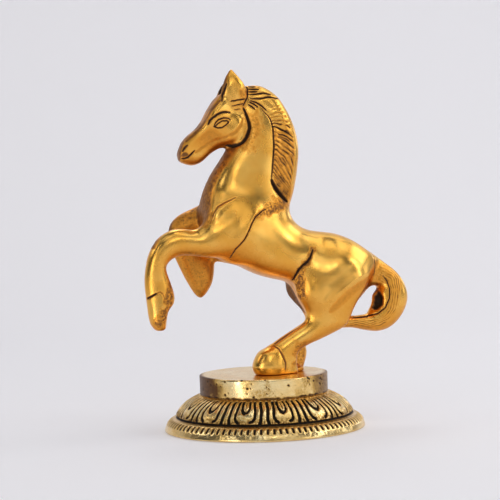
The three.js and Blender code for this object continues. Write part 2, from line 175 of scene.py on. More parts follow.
LEFT_HIND_HOOF = [
    [4.0, 10.8, 1.0, 10.7, 6.5, 1.6],
    [6.5, 9.0, -2.6, 9.0, 6.5, 4.3],
    [8.2, 6.2, -4.7, 6.1, 6.6, 5.3],
    [8.9, 3.4, -5.6, 3.2, 6.6, 5.7],
    [8.7, 1.2, -5.0, 1.0, 6.6, 5.4],
    [7.7, -0.6, -4.0, -0.6, 6.5, 4.9],
]
RIGHT_HIND_FOOT = [
    [19.6, 9.8, 8.6, 12.2, 6.8, 3.8],
    [19.3, 6.6, 7.0, 8.8, 6.8, 4.2],
    [18.8, 4.0, 6.0, 5.6, 6.8, 4.6],
    [18.0, 1.8, 5.4, 2.8, 6.8, 4.8],
    [17.4, 0.0, 5.0, 0.0, 6.8, 4.6],
]
RIGHT_LEG_SET_BACK = [0, 0, 0, 0, 0.4, 1.6, 3.2, 4.9, 5.2]
CROTCH = [
    [46.4, 37.0, 14.0, 45.0, 0, 5.0],
    [43.4, 31.0, 11.6, 36.4, 0, 6.6],
    [39.8, 27.0, 13.2, 30.8, 0, 7.2],
    [36.4, 23.2, 15.4, 26.2, 0, 6.8],
    [33.0, 19.8, 18.0, 22.0, 0, 6.0],
    [29.0, 17.0, 20.0, 18.4, 0, 4.6],
]
LEFT_FORELEG = [
    [1.4, 63.6, -9.6, 69.8, 7.6, 1.6],
    [-2.6, 59.4, -15.4, 68.0, 7.8, 2.7],
    [-7.0, 53.2, -20.4, 64.2, 9.8, 4.6],
    [-12.2, 48.2, -23.2, 59.8, 10.4, 4.9],
    [-20.6, 46.0, -26.4, 56.8, 10.2, 4.7],
    [-27.0, 46.8, -31.0, 57.2, 10.0, 4.6],
    [-32.0, 47.2, -36.0, 56.9, 9.9, 4.5],
    [-36.0, 45.9, -41.0, 54.0, 9.8, 4.4],
    [-38.2, 43.4, -44.6, 48.6, 9.7, 4.2],
    [-38.0, 40.6, -46.3, 42.2, 9.6, 4.0],
    [-36.8, 37.0, -46.7, 36.6, 9.5, 3.9],
    [-35.6, 32.6, -46.3, 31.5, 9.4, 4.1],
    [-35.8, 29.4, -46.0, 28.0, 9.4, 4.2],
    [-38.0, 26.3, -45.6, 24.5, 9.4, 4.1],
    [-38.8, 22.8, -44.8, 21.3, 9.4, 3.9],
    [-39.2, 20.1, -43.6, 19.9, 9.4, 3.1],
]
RIGHT_FORELEG = [
    [1.4, 63.6, -9.6, 69.8, 7.6, 1.6],
    [-3.6, 57.6, -15.6, 68.2, 9.0, 3.6],
    [-10.6, 51.6, -21.2, 66.0, 9.8, 4.5],
    [-18.2, 51.4, -26.0, 64.0, 9.6, 4.5],
    [-22.2, 52.0, -30.5, 61.6, 9.4, 4.3],
    [-23.4, 50.8, -33.6, 57.6, 9.2, 4.2],
    [-21.6, 48.8, -33.9, 52.0, 9.0, 4.0],
    [-18.6, 46.2, -32.2, 46.8, 8.9, 4.0],
    [-16.4, 42.4, -30.3, 42.2, 8.8, 3.9],
    [-16.7, 38.0, -28.2, 37.6, 8.8, 3.7],
    [-18.2, 33.6, -25.8, 33.2, 8.8, 3.1],
    [-20.4, 30.6, -23.8, 30.1, 8.8, 1.9],
    [-21.5, 29.2, -22.7, 29.0, 8.8, 0.9],
]
TAIL = [
    [44.6, 43.6, 38.4, 34.6, 0, 3.6],
    [49.8, 41.2, 43.8, 32.6, 0, 4.2],
    [54.3, 37.8, 47.2, 31.4, 0, 4.8],
    [57.6, 33.6, 46.6, 30.2, 0, 5.2],
    [59.3, 28.6, 45.1, 28.2, 0, 5.5],
    [58.8, 24.0, 44.8, 26.0, 0, 5.6],
    [56.2, 19.2, 44.2, 23.8, 0, 5.4],
    [52.0, 15.4, 43.2, 22.4, 0, 5.0],
    [46.8, 13.9, 43.0, 21.2, 0, 4.5],
    [41.3, 14.6, 39.8, 20.6, 0, 3.9],
    [36.0, 15.8, 36.0, 20.4, 0, 3.3],
    [30.0, 15.8, 30.0, 20.0, 0, 2.8],
]


def through(rows, u):
    """Smooth values between rows, at places u counted in rows."""
    rows = np.asarray(rows, float)
    padded = np.vstack([2 * rows[0] - rows[1], rows, 2 * rows[-1] - rows[-2]])
    i = np.clip(np.floor(u).astype(int), 0, len(rows) - 2)
    f = (u - i)[:, None]
    a, b, c, d = padded[i], padded[i + 1], padded[i + 2], padded[i + 3]
    cubic = (2 * b) + (c - a) * f + (2 * a - 5 * b + 4 * c - d) * f**2
    return 0.5 * (cubic + (3 * b - a - 3 * c + d) * f**3)


class Limb:
    """A form with oval cross-sections. side is -1 for the horse's left and 1 for its right,
    0 on the middle, and "both" for a pair. egg makes the back edge narrower than the front."""

    STEPS = 6

    def __init__(self, rows, side=0, egg=0.0, ends=(1.5, 1.5), power=2.0):
        rows = np.array(rows, float)
        u = np.linspace(0, len(rows) - 1, (len(rows) - 1) * self.STEPS + 1)
        dense = through(rows, u)
        back, front = dense[:, 0:2], dense[:, 2:4]
        span = (back - front) / 2
        reach = np.linalg.norm(span, axis=1, keepdims=True)
        across = span / reach
        centre = (back + front) / 2
        normal = np.stack([-across[:, 1], across[:, 0]], 1)
        travel = np.gradient(centre, axis=0)
        normal *= np.sign((normal * travel).sum(1))[:, None]
        middle = dense[:, 4:5] * (side if side in (-1, 1) else 1)
        self.sections = np.hstack([centre, across, reach, middle, dense[:, 5:6]])
        self.normal = normal
        self.egg = egg
        self.ends = ends
        self.side = side
        self.power = power
        self.reach_box = (dense[:, [0, 2]].min(), dense[:, [0, 2]].max(),
                          dense[:, [1, 3]].min(), dense[:, [1, 3]].max())

    def place(self, x, z):
        """How far along (0 to 1), how far across (-1 front, 1 back) and past the end each
        point lies, with the middle, reach and half width of the section through it and the
        length of the rounded end."""
        x, z = np.ravel(x), np.ravel(z)
        n = len(x)
        result = np.zeros((n, 7))
        chunk = 20000
        for start in range(0, n, chunk):
            stop = min(n, start + chunk)
            result[start:stop] = self._place(x[start:stop], z[start:stop])
        return result

    def _place(self, x, z):
        q, m = self.sections, self.normal
        count = len(q)
        ahead = (x[None] - q[:, 0:1]) * m[:, 0:1] + (z[None] - q[:, 1:2]) * m[:, 1:2]
        hit = (ahead[:-1] >= 0) & (ahead[1:] < 0)
        share = np.where(hit, ahead[:-1] / np.where(hit, ahead[:-1] - ahead[1:], 1), 0)
        cx = q[:-1, 0:1] + (q[1:, 0:1] - q[:-1, 0:1]) * share
        cz = q[:-1, 1:2] + (q[1:, 1:2] - q[:-1, 1:2]) * share
        ax = q[:-1, 2:3] + (q[1:, 2:3] - q[:-1, 2:3]) * share
        az = q[:-1, 3:4] + (q[1:, 3:4] - q[:-1, 3:4]) * share
        reach = q[:-1, 4:5] + (q[1:, 4:5] - q[:-1, 4:5]) * share
        s = ((x[None] - cx) * ax + (z[None] - cz) * az) / reach
        metric = np.where(hit, np.abs(s), 1e9)
        best = metric.argmin(0)
        pick = (best, np.arange(len(x)))
        share, s, least = share[pick], s[pick], metric[pick]
        section = q[best] + (q[best + 1] - q[best]) * share[:, None]
        past = np.zeros(len(x))
        length = np.ones(len(x))
        along = (best + share) / (count - 1)
        for end, cap, way in ((0, self.ends[0], -1), (count - 1, self.ends[1], 1)):
            e = ahead[end] * way
            se = ((x - q[end, 0]) * q[end, 2] + (z - q[end, 1]) * q[end, 3]) / q[end, 4]
            value = np.hypot(se, e / cap)
            use = (e >= 0) & (value < least)
            least = np.where(use, value, least)
            s = np.where(use, se, s)
            past = np.where(use, e / cap, past)
            length = np.where(use, cap, length)
            along = np.where(use, end / (count - 1), along)
            section = np.where(use[:, None], q[end], section)
        s = np.where(least > 1e8, 9.0, s)
        rest = section[:, [5, 4, 6]]
        return np.column_stack([along, s, past, rest, length])

    def field(self, x, y, z):
        """Roughly the distance to the form on a grid: x and z are 2D arrays, y is 1D."""
        shape = x.shape
        _, s, past, middle, reach, half, cap = self.place(x, z).T
        wide = half * (1 - self.egg * np.clip(s, -1, 1))
        p = self.power
        s, past = np.abs(s), np.abs(past)
        flat = (s**p + past**p).reshape(shape)[:, None, :]
        slope = (s ** (p - 1) / reach) ** 2 + (past ** (p - 1) / cap) ** 2
        slope = slope.reshape(shape)[:, None, :]
        y = np.abs(y) if self.side == "both" else y
        wide = wide.reshape(shape)[:, None, :]
        v = np.abs(y[None, :, None] - middle.reshape(shape)[:, None, :]) / wide
        rho = (flat + v**p) ** (1 / p)
        steep = np.sqrt(slope + (v ** (p - 1) / wide) ** 2 + 1e-12)
        return (rho - 1) * rho ** (p - 1) / steep


class Blob:
    """An ellipsoid, or a pair of them, turned in the side view."""

    def __init__(self, x, z, y, radii, turn=0.0, side=0):
        self.at = (x, y, z)
        self.radii = radii
        self.turn = math.radians(turn)
        self.side = side
        big = max(radii)
        self.reach_box = (x - big, x + big, z - big, z + big)

    def field(self, x, y, z):
        cx, cy, cz = self.at
        c, s = math.cos(self.turn), math.sin(self.turn)
        u = ((x - cx) * c + (z - cz) * s)[:, None, :]
        w = (-(x - cx) * s + (z - cz) * c)[:, None, :]
        y = np.abs(y) if self.side == "both" else y * (self.side or 1)
        v = y[None, :, None] - cy
        a, b, h = self.radii
        k0 = np.sqrt((u / a) ** 2 + (v / b) ** 2 + (w / h) ** 2)
        k1 = np.sqrt((u / a**2) ** 2 + (v / b**2) ** 2 + (w / h**2) ** 2)
        return k0 * (k0 - 1) / np.maximum(k1, 1e-9)


def blend(a, b, soft):
    """Joins two fields with a fillet about soft millimetres wide."""
    h = np.clip(0.5 + 0.5 * (b - a) / soft, 0, 1)
    return b * (1 - h) + a * h - soft * h * (1 - h)


class Block:
    """A block of space that forms are joined in and cut from."""

    def __init__(self, low, high, step):
        self.low = np.array(low, float)
        self.step = step
        counts = np.ceil((np.array(high) - low) / step).astype(int) + 1
        self.axes = [self.low[i] + step * np.arange(counts[i]) for i in range(3)]
        self.values = np.full(counts, 50.0, np.float32)

    def window(self, form, margin):
        x0, x1, z0, z1 = form.reach_box
        xs, _, zs = self.axes
        i = slice(*np.searchsorted(xs, (x0 - margin, x1 + margin)))
        k = slice(*np.searchsorted(zs, (z0 - margin, z1 + margin)))
        x, z = np.meshgrid(xs[i], zs[k], indexing="ij")
        return i, k, form.field(x, self.axes[1], z).astype(np.float32)

    def add(self, form, soft=1.0):
        i, k, values = self.window(form, soft + 7)
        self.values[i, :, k] = blend(self.values[i, :, k], values, soft)
        return self

    def carve(self, form, soft=0.6):
        i, k, values = self.window(form, soft + 2)
        self.values[i, :, k] = -blend(-self.values[i, :, k], values, soft)
        return self


def blurred(values, reach):
    """A field averaged over about reach grid steps."""
    span = int(3 * reach)
    weights = np.exp(-0.5 * (np.arange(-span, span + 1) / reach) ** 2)
    weights /= weights.sum()
    for axis in range(3):
        edges = [(span, span) if a == axis else (0, 0) for a in range(3)]
        padded = np.moveaxis(np.pad(values, edges, mode="edge"), axis, 0)
        count = values.shape[axis]
        total = sum(w * padded[k:k + count] for k, w in enumerate(weights.astype(np.float32)))
        values = np.moveaxis(total, 0, axis)
    return values


def evened(values, reach):
    """A field without its ripples, which keeps the size of what is rounded."""
    once = blurred(values, reach)
    return 2 * once - blurred(once, reach)


def sample(block, values, points):
    """Values of a field at points, between the grid's own."""
    at = (points - block.low) / block.step
    limit = np.array(values.shape) - 1.001
    at = np.clip(at, 0, limit)
    i = at.astype(int)
    f = at - i
    total = 0
    for dx in (0, 1):
        for dy in (0, 1):
            for dz in (0, 1):
                weight = (f[:, 0] if dx else 1 - f[:, 0])
                weight = weight * (f[:, 1] if dy else 1 - f[:, 1])
                weight = weight * (f[:, 2] if dz else 1 - f[:, 2])
                total = total + weight * values[i[:, 0] + dx, i[:, 1] + dy, i[:, 2] + dz]
    return total


def slope_of(block, values, points):
    reach = block.step * 0.75
    parts = []
    for axis in range(3):
        shift = np.zeros(3)
        shift[axis] = reach
        forward = sample(block, values, points + shift)
        parts.append((forward - sample(block, values, points - shift)) / (2 * reach))
    return np.stack(parts, 1)


def skin_of(block, values):
    """The closed skin where a field is zero, as points and four-sided faces."""
    inside = values < 0
    counts = sum(
        inside[dx:dx + inside.shape[0] - 1, dy:dy + inside.shape[1] - 1,
               dz:dz + inside.shape[2] - 1].astype(np.int8)
        for dx in (0, 1) for dy in (0, 1) for dz in (0, 1)
    )
    active = (counts > 0) & (counts < 8)
    index = np.full(active.shape, -1, np.int64)
    cells = np.argwhere(active)
    index[active] = np.arange(len(cells))
    total = np.zeros((len(cells), 3))
    found = np.zeros(len(cells))
    unit = np.eye(3, dtype=int)
    for axis in range(3):
        others = [a for a in range(3) if a != axis]
        for p in (0, 1):
            for q in (0, 1):
                low = unit[others[0]] * p + unit[others[1]] * q
                a = values[tuple((cells + low).T)]
                b = values[tuple((cells + low + unit[axis]).T)]
                crossed = (a < 0) != (b < 0)
                share = np.where(crossed, a / np.where(crossed, a - b, 1), 0)
                total += np.where(crossed[:, None], low + unit[axis] * share[:, None], 0)
                found += crossed
    points = block.low + (cells + total / found[:, None]) * block.step
    faces = []
    for axis in range(3):
        b, c = unit[(axis + 1) % 3], unit[(axis + 2) % 3]
        first = np.take(inside, range(inside.shape[axis] - 1), axis)
        second = np.take(inside, range(1, inside.shape[axis]), axis)
        edges = np.argwhere(first != second)
        edges = edges[(edges @ b > 0) & (edges @ c > 0)]
        edges = edges[(edges @ b < index.shape[(axis + 1) % 3])
                      & (edges @ c < index.shape[(axis + 2) % 3])]
        quad = np.stack([index[tuple((edges - o).T)] for o in (b * 0, b, b + c, c)], 1)
        outward = first[tuple(edges.T)]
        faces.append(np.where(outward[:, None], quad, quad[:, ::-1]))
    return points, np.vstack(faces)


def neighbour_mean(points, faces, values):
    """The mean of each point's neighbours along the edges of the faces."""
    a = faces.ravel()
    b = np.roll(faces, -1, 1).ravel()
    n = len(points)
    total = np.zeros((n,) + values.shape[1:])
    for column in range(values.shape[1]):
        total[:, column] = (np.bincount(a, values[b, column], n)
                            + np.bincount(b, values[a, column], n))
    degree = np.bincount(a, minlength=n) + np.bincount(b, minlength=n)
    return total / degree[:, None]


def normals_of(points, faces):
    p = points[faces]
    normal = np.cross(p[:, 2] - p[:, 0], p[:, 3] - p[:, 1])
    total = np.zeros_like(points)
    for corner in range(4):
        for axis in range(3):
            total[:, axis] += np.bincount(faces[:, corner], normal[:, axis], len(points))
    return total / np.maximum(np.linalg.norm(total, axis=1, keepdims=True), 1e-12)


def smooth_skin(block, values):
    """A skin with even faces whose points lie on the surface."""
    points, faces = skin_of(block, values)
    for _ in range(3):
        points = 0.5 * points + 0.5 * neighbour_mean(points, faces, points)
        slope = slope_of(block, values, points)
        height = sample(block, values, points)
        steep = np.maximum((slope**2).sum(1), 0.05)
        step = np.clip(height / steep, -block.step, block.step)
        points = points - slope * step[:, None]
    return points, faces


# Horse: forms

trunk = Limb(TRUNK, egg=0.22, power=2.2)
mane = Limb(MANE, ends=(1.0, 1.0))
tail = Limb(TAIL, ends=(1.0, 1.0))
left_foreleg = Limb(LEFT_FORELEG[1:], side=-1, ends=(3.0, 0.8), power=2.2)
right_foreleg = Limb(RIGHT_FORELEG[1:], side=1, ends=(3.0, 0.8), power=2.2)


def set_back(rows, shifts):
    return [[bx + shift, bz, fx + shift, fz, y, half]
            for (bx, bz, fx, fz, y, half), shift in zip(rows, shifts)]


left_hind = Limb(THIGH + LEFT_HIND_FOOT, side=-1, ends=(3.0, 1.0))
right_hind = Limb(set_back(THIGH, RIGHT_LEG_SET_BACK) + RIGHT_HIND_FOOT, side=1, ends=(3.0, 1.0))


def sculpt():
    """The castings as fields: the body, each foreleg and the tail."""
    low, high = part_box("horse_body")
    low = [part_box("foreleg_left")[0].x / MM - 2, low.y / MM - 4, -1.5]
    high = [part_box("tail")[1].x / MM + 2, high.y / MM + 4, (high.z / MM - HOOF_PLANE) + 2]

    def empty():
        return Block(low, high, GRID)

    body = empty()
    body.add(trunk)
    body.add(Blob(-9.5, 55.5, 7.0, (10.5, 6.0, 13), -25, side="both"), 4.0)  # shoulders
    body.add(Blob(-15.6, 62.5, 5.4, (6.4, 5.0, 7.6), 10, side="both"), 3.0)  # breast
    body.add(Limb(CROTCH), 3.0)
    body.add(left_hind, 3.2)
    body.add(right_hind, 3.2)
    body.add(Blob(31, 39.5, 6.2, (9.5, 6.2, 7.5), -38, side="both"), 5.5)  # haunches
    body.add(Limb(HEAD, egg=0.38, power=4.0, ends=(1.0, 0.5)), 1.4)
    body.add(Blob(-9.4, 95.2, 3.5, (5.3, 2.9, 6.6), 20, side="both"), 0.8)  # cheeks
    body.add(Blob(-14.2, 97.0, 4.9, (2.5, 1.0, 1.6), 26, side="both"), 0.3)  # eyes
    body.add(Blob(-14.2, 100.3, 4.2, (4.2, 1.4, 1.0), 22, side="both"), 0.6)  # brows
    body.add(Blob(-24.6, 83.6, 0, (2.9, 3.0, 2.2)), 0.8)  # chin
    body.add(mane, 0.8)
    body.add(Limb(NEAR_EAR, side=-1, ends=(1.0, 0.8)), 0.6)
    body.add(Limb(FAR_EAR, side=1, ends=(1.0, 0.8)), 0.6)
    body.carve(Blob(-8.9, 108.6, 7.9, (2.6, 1.3, 6.0), -3, side="both"), 0.8)  # ear hollows
    body.add(Limb(LEFT_HIND_HOOF, side=-1, ends=(0.8, 1.0), power=2.2), 0.5)
    body.add(Blob(11.5, 0.6, 0.5, (5, 4, 1.8)), 1.5)  # the web between the feet
    return {
        "horse_body": body,
        "foreleg_left": empty().add(left_foreleg),
        "foreleg_right": empty().add(right_foreleg),
        "tail": empty().add(tail),
    }


def fuse(castings):
    """One form from the castings, with the fillets that were dressed smooth."""
    whole = castings["horse_body"].values
    for name, soft in (("foreleg_left", 4.0), ("foreleg_right", 1.5), ("tail", 2.6)):
        whole = blend(whole, castings[name].values, soft)
    xs, _, zs = castings["horse_body"].axes
    x, z = np.meshgrid(xs, zs, indexing="ij")
    broad = smooth(20, 27, z) * smooth(46, 42, x) * smooth(-32, -25, x)
    broad = broad * (1 - smooth(3, -2, x) * smooth(84, 88, z)) * smooth(104, 98, z)
    broad = broad.astype(np.float32)[:, None, :]
    near = np.clip(whole, -7, 7)
    whole = evened(near, 0.7 / GRID) * (1 - broad) + evened(near, 1.9 / GRID) * broad
    ground = -castings["tail"].axes[2].astype(np.float32)
    return np.maximum(whole, ground)


def divide(castings, whole, name):
    """The share of the form that belongs to one casting."""
    rivals = np.min([c.values for other, c in castings.items() if other != name], axis=0)
    return np.maximum(whole, (castings[name].values - rivals) * 0.5 - SEAM)


# Horse: chasing. Curves are [x, z] in the side view, in millimetres above the hooves.

LEFT, RIGHT, BOTH = (-1,), (1,), (-1, 1)


def smooth(low, high, value):
    t = np.clip((value - low) / (high - low), 0, 1)
    return t * t * (3 - 2 * t)


LATTICE = np.random.RandomState(11).uniform(-1, 1, (32, 32, 32))


def noise(points, size, shift=0.0):
    """Smooth noise from -1 to 1 whose lumps are about size millimetres across."""
    at = points / size + shift
    i = np.floor(at).astype(int)
    f = at - i
    f = f * f * (3 - 2 * f)
    total = 0
    for dx in (0, 1):
        for dy in (0, 1):
            for dz in (0, 1):
                weight = (f[:, 0] if dx else 1 - f[:, 0])
                weight = weight * (f[:, 1] if dy else 1 - f[:, 1])
                weight = weight * (f[:, 2] if dz else 1 - f[:, 2])
                total = total + weight * LATTICE[(i[:, 0] + dx) % 32, (i[:, 1] + dy) % 32,
                                                 (i[:, 2] + dz) % 32]
    return total


class Chasing:
    """What the chaser does to a skin: how far each point is raised, and how dark and rough it is left.
    Painted shade is added to the same darkness in places."""

    def __init__(self, points, normals):
        self.points = points
        self.normals = normals
        self.raised = np.zeros(len(points))
        self.dark = np.zeros(len(points))
        self.rough = np.zeros(len(points))
        self.fine = np.zeros(len(points), bool)

    def facing(self, side):
        return smooth(0.08, 0.4, self.normals[:, 1] * side)

    def along(self, curve, side, margin):
        """Distance of nearby points from a curve, which side they are on, and how far along."""
        curve = np.array(curve, float)
        low, high = curve.min(0) - margin, curve.max(0) + margin
        x, z = self.points[:, 0], self.points[:, 2]
        near = np.flatnonzero((x > low[0]) & (x < high[0]) & (z > low[1]) & (z < high[1])
                              & (self.normals[:, 1] * side > 0.05))
        p = np.stack([x[near], z[near]], 1)
        best = np.full(len(near), 1e9)
        left = np.zeros(len(near))
        part = np.zeros(len(near))
        lengths = np.linalg.norm(np.diff(curve, axis=0), axis=1)
        total = lengths.sum()
        done = 0.0
        for a, b, length in zip(curve[:-1], curve[1:], lengths):
            way = (b - a) / length
            t = np.clip((p - a) @ way, 0, length)
            gap = p - a - t[:, None] * way
            distance = np.linalg.norm(gap, axis=1)
            closer = distance < best
            best = np.where(closer, distance, best)
            left = np.where(closer, way[0] * gap[:, 1] - way[1] * gap[:, 0], left)
            part = np.where(closer, (done + t) / total, part)
            done += length
        return near, best, np.sign(left), part

    def cut(self, curve, width, depth, sides=BOTH, dark=1.0, taper=True):
        """A chased line."""
        for side in sides:
            near, distance, _, part = self.along(curve, side, width * 2 + 0.5)
            self.fine[near] |= distance < width + GRID
            swell = 0.45 + 0.55 * np.sqrt(np.sin(np.pi * np.clip(part, 0, 1))) if taper else 1
            wide = width * swell
            facing = self.facing(side)[near]
            self.raised[near] -= depth * swell * facing * np.exp(-((distance / (0.5 * wide)) ** 2))
            darkening = dark * facing * np.exp(-((distance / (0.62 * wide)) ** 4))
            self.dark[near] = np.maximum(self.dark[near], darkening)

    def step(self, curve, height, fade, sides=BOTH):
        """A ledge: the ground to the left of the curve stands higher, and slopes away."""
        for side in sides:
            near, distance, left, part = self.along(curve, side, fade)
            ends = smooth(0.0, 0.35, part) * smooth(1.0, 0.65, part)
            slope = smooth(0, 0.9, distance) * smooth(fade, 0.9, distance)
            self.raised[near] += height * slope * ends * self.facing(side)[near] * (left > 0)

    def hollow(self, curve, width, depth, sides=BOTH):
        """A soft hollow that fades out at its ends, or with a negative depth a soft ridge."""
        for side in sides:
            near, distance, _, part = self.along(curve, side, width * 1.5)
            fade = np.sin(np.pi * np.clip(part, 0, 1)) * self.facing(side)[near]
            self.raised[near] -= depth * fade * np.exp(-((distance / (0.5 * width)) ** 2))

    def grain(self, curve, width, strength, sides=BOTH):
        """Ground left rough and dark from the mould."""
        for side in sides:
            near, distance, _, _ = self.along(curve, side, width)
            weight = strength * smooth(width, width * 0.35, distance + 0.5 * width
                                       * noise(self.points[near], 1.9))
            weight = weight * self.facing(side)[near]
            self.rough[near] = np.maximum(self.rough[near], weight)

    def texture(self):
        """Gives the rough ground its lumps and stains."""
        near = np.flatnonzero(self.rough > 0.02)
        p, weight = self.points[near], self.rough[near]
        lumps = noise(p, 1.3)
        self.raised[near] += 0.12 * weight * lumps
        darkening = weight * (0.25 - 0.5 * lumps)
        self.dark[near] = np.maximum(self.dark[near], np.clip(darkening, 0, 0.8))


def chase_head(work):
    work.cut([[-19.7, 96.5], [-18.9, 98.0], [-17.8, 99.1], [-16.2, 100.2], [-14.7, 100.9],
              [-13.2, 101.2], [-10.9, 101.0]], 0.75, 0.5)
    work.cut([[-17.6, 95.8], [-16.8, 97.3], [-15.7, 98.3], [-13.7, 98.9], [-11.8, 98.8],
              [-10.9, 98.0]], 0.5, 0.4)
    work.cut([[-17.3, 95.6], [-15.8, 95.1], [-14.3, 95.3], [-12.7, 96.2], [-11.6, 97.4],
              [-12.4, 97.9], [-14.4, 97.7], [-16.0, 96.7], [-17.3, 95.6]], 0.42, 0.3,
             taper=False)
    work.cut([[-5.4, 102.6], [-4.9, 101.1], [-4.3, 99.1], [-3.7, 96.8], [-3.6, 94.9],
              [-4.3, 93.0], [-5.3, 91.1], [-6.6, 89.6], [-8.4, 88.7], [-10.4, 88.1],
              [-12.2, 88.0]], 1.15, 1.0)
    work.cut([[-29.9, 84.0], [-28.9, 83.8], [-27.4, 84.3], [-26.3, 85.4], [-24.8, 86.9]],
             0.6, 0.5)
    work.cut([[-29.6, 86.6], [-28.7, 88.0], [-27.6, 89.0]], 0.8, 0.2, dark=0.8)
    # Painted shade between the mouth and the nostril, in a wide shallow line.
    work.cut([[-29.9, 84.9], [-28.8, 85.5], [-27.6, 85.4]], 1.6, 0.15, dark=0.5)
    brow = [[-12.6, 105.2], [-14.7, 103.3], [-16.8, 101.0], [-18.7, 98.1], [-20.7, 94.8],
            [-23.7, 91.8], [-26.4, 89.6], [-28.8, 86.6]]
    work.hollow(brow, 2.4, -0.6)
    # Painted shade along the front flank of the nose ridge, in a very shallow line.
    work.cut([[x - 1.7, z + 0.7] for x, z in brow[:-1]], 1.2, 0.1, dark=0.45)
    cheek = [[-6.0, 98.6], [-6.9, 95.9], [-9.1, 93.4], [-12.5, 91.5], [-16.7, 90.3],
             [-20.5, 88.7], [-24.5, 86.1]]
    # A shallow line along the cheek's lower edge, with painted shade along it.
    work.cut(cheek, 1.5, 0.2, dark=0.24)
    work.cut([[-10.5, 105.3], [-8.5, 105.5], [-6.5, 105.8], [-4.7, 106.1]], 0.5, 0.3)
    work.cut([[-10.1, 103.4], [-7.7, 103.8], [-5.6, 104.3]], 0.4, 0.25, dark=0.8)
    work.cut([[-9.3, 101.9], [-6.9, 102.3]], 0.35, 0.2, dark=0.6)
    work.cut([[-3.6, 111.6], [-3.1, 110.3], [-3.3, 108.3], [-3.7, 106.5], [-4.7, 105.0],
              [-5.6, 103.4]], 0.55, 0.45)
    work.cut([[-11.9, 112.0], [-12.6, 110.2], [-13.6, 107.6], [-14.0, 105.2]], 0.7, 0.3)
    work.hollow([[-8.4, 101.5], [-7.7, 104.5], [-7.4, 108.5]], 1.6, 0.3)
    work.hollow([[-4.4, 95.6], [-5.4, 92.2], [-7.2, 90.0], [-9.6, 88.4], [-12.4, 87.6],
                 [-15.6, 87.0], [-19.0, 84.6]], 4.6, 0.8)
    work.grain([[-6.0, 102.8], [-5.4, 105.5], [-5.4, 108.5]], 1.8, 0.5)
    work.grain([[-1.6, 98.6], [-1.3, 95.0], [-2.4, 91.4], [-5.0, 88.2]], 4.0, 0.45)
    # Painted shade: the front plane of the nose, turned away from the light, and the underside of the jaw
    # are darkened; the nose's front is also left rough.
    near = np.flatnonzero((work.points[:, 0] < -8) & (work.points[:, 2] > 80))
    lean, _, rise = work.normals[near].T
    lumps = noise(work.points[near], 2.4)
    nose_front_shade = smooth(-0.35, -0.7, lean) * (0.34 + 0.2 * lumps)
    jaw_underside_shade = 0.22 * smooth(-0.05, -0.45, rise)
    work.dark[near] = np.maximum(work.dark[near], np.maximum(nose_front_shade, jaw_underside_shade))
    work.rough[near] = np.maximum(work.rough[near], 0.3 * smooth(-0.35, -0.7, lean))


def chase_mane(work):
    border = [[1.8, 101.9], [2.9, 100.5], [4.0, 99.3], [4.9, 97.8], [5.4, 95.8], [5.7, 93.9],
              [5.7, 90.8], [5.7, 87.7], [5.3, 84.3], [4.9, 81.2], [4.4, 77.8], [4.0, 75.1]]
    work.step(border, 0.45, 3.5)
    work.cut(border, 0.5, 0.35, dark=0.9)
    work.cut([[4.1, 74.8], [4.6, 73.4], [5.5, 71.8], [6.8, 70.0], [8.3, 68.3], [10.6, 66.2]],
             1.5, 1.3)
    work.cut([[5.3, 95.5], [7.8, 94.6], [10.0, 93.5], [12.0, 92.2], [13.6, 90.9]], 0.55, 0.45)
    strokes = [
        [[-2.4, 111.0], [0.3, 110.9]],
        [[-2.6, 110.0], [1.2, 109.8]],
        [[-2.7, 108.9], [0.4, 108.9]],
        [[-2.8, 107.8], [-0.1, 107.9], [2.7, 108.3], [5.7, 107.6]],
        [[-2.6, 106.2], [1.4, 106.1], [4.5, 106.7], [8.8, 106.1]],
        [[-2.3, 105.4], [-0.3, 104.7], [1.9, 103.2], [3.6, 101.5]],
        [[-3.1, 105.0], [-1.2, 104.0], [0.3, 102.8]],
        [[-3.4, 103.9], [-2.1, 103.0], [-1.0, 102.0]],
    ]
    for stroke in strokes:
        work.cut(stroke, 0.6, 0.35)
    x, z = work.points[:, 0], work.points[:, 2]
    near = np.flatnonzero((x > -6) & (x < 19) & (z > 62) & (z < 114))
    t, s, past, _, reach, *_ = mane.place(x[near], z[near]).T
    across = (s + 1) * reach
    down = t * 52.0
    lean = 0.55 + 0.75 * smooth(0.5, 0.95, t)
    wander = 0.3 * noise(work.points[near], 4.0) + 0.16 * noise(work.points[near], 1.5, 2.6)
    phase = (down - lean * across) / 1.75 + wander
    strand = np.floor(phase)
    strength = 0.65 + 0.35 * np.sin(strand * 12.9898) * np.cos(strand * 4.1)
    zone = (smooth(-1.0, -0.92, s) * smooth(0.62, 0.42, s) * smooth(0.2, 0.42, t)
            * smooth(0.98, 0.9, t) * (past == 0))
    work.fine[near] |= zone > 0.1
    side = np.sign(work.points[near, 1])
    facing = smooth(0.15, 0.5, work.normals[near, 1] * side)
    groove = np.clip(0.5 + 0.5 * np.cos(2 * np.pi * phase), 0, 1) ** 3
    low = smooth(0.3, 0.6, t)
    between = np.clip(0.5 + 0.5 * np.cos(2 * np.pi * (phase + 0.46)), 0, 1) ** 6
    groove = np.maximum(groove, 0.8 * between * low * smooth(-0.1, 0.3, noise(work.points[near], 3.4, 1.9)))
    fade = 0.7 + 0.8 * noise(work.points[near], 1.6, 7.7)
    amount = groove * zone * facing * strength * np.clip(fade, 0.1, 1)
    crest = np.clip(0.5 - 0.5 * np.cos(2 * np.pi * phase), 0, 1) ** 2
    work.raised[near] += zone * facing * low * 0.22 * crest - 0.55 * amount
    work.dark[near] = np.maximum(work.dark[near], np.clip(1.3 * amount, 0, 1))
    brown = zone * facing * low * (0.3 - 0.35 * crest)
    work.dark[near] = np.maximum(work.dark[near], brown)
    work.rough[near] = np.maximum(work.rough[near], 0.6 * zone * facing * low * (1 - 0.6 * crest))


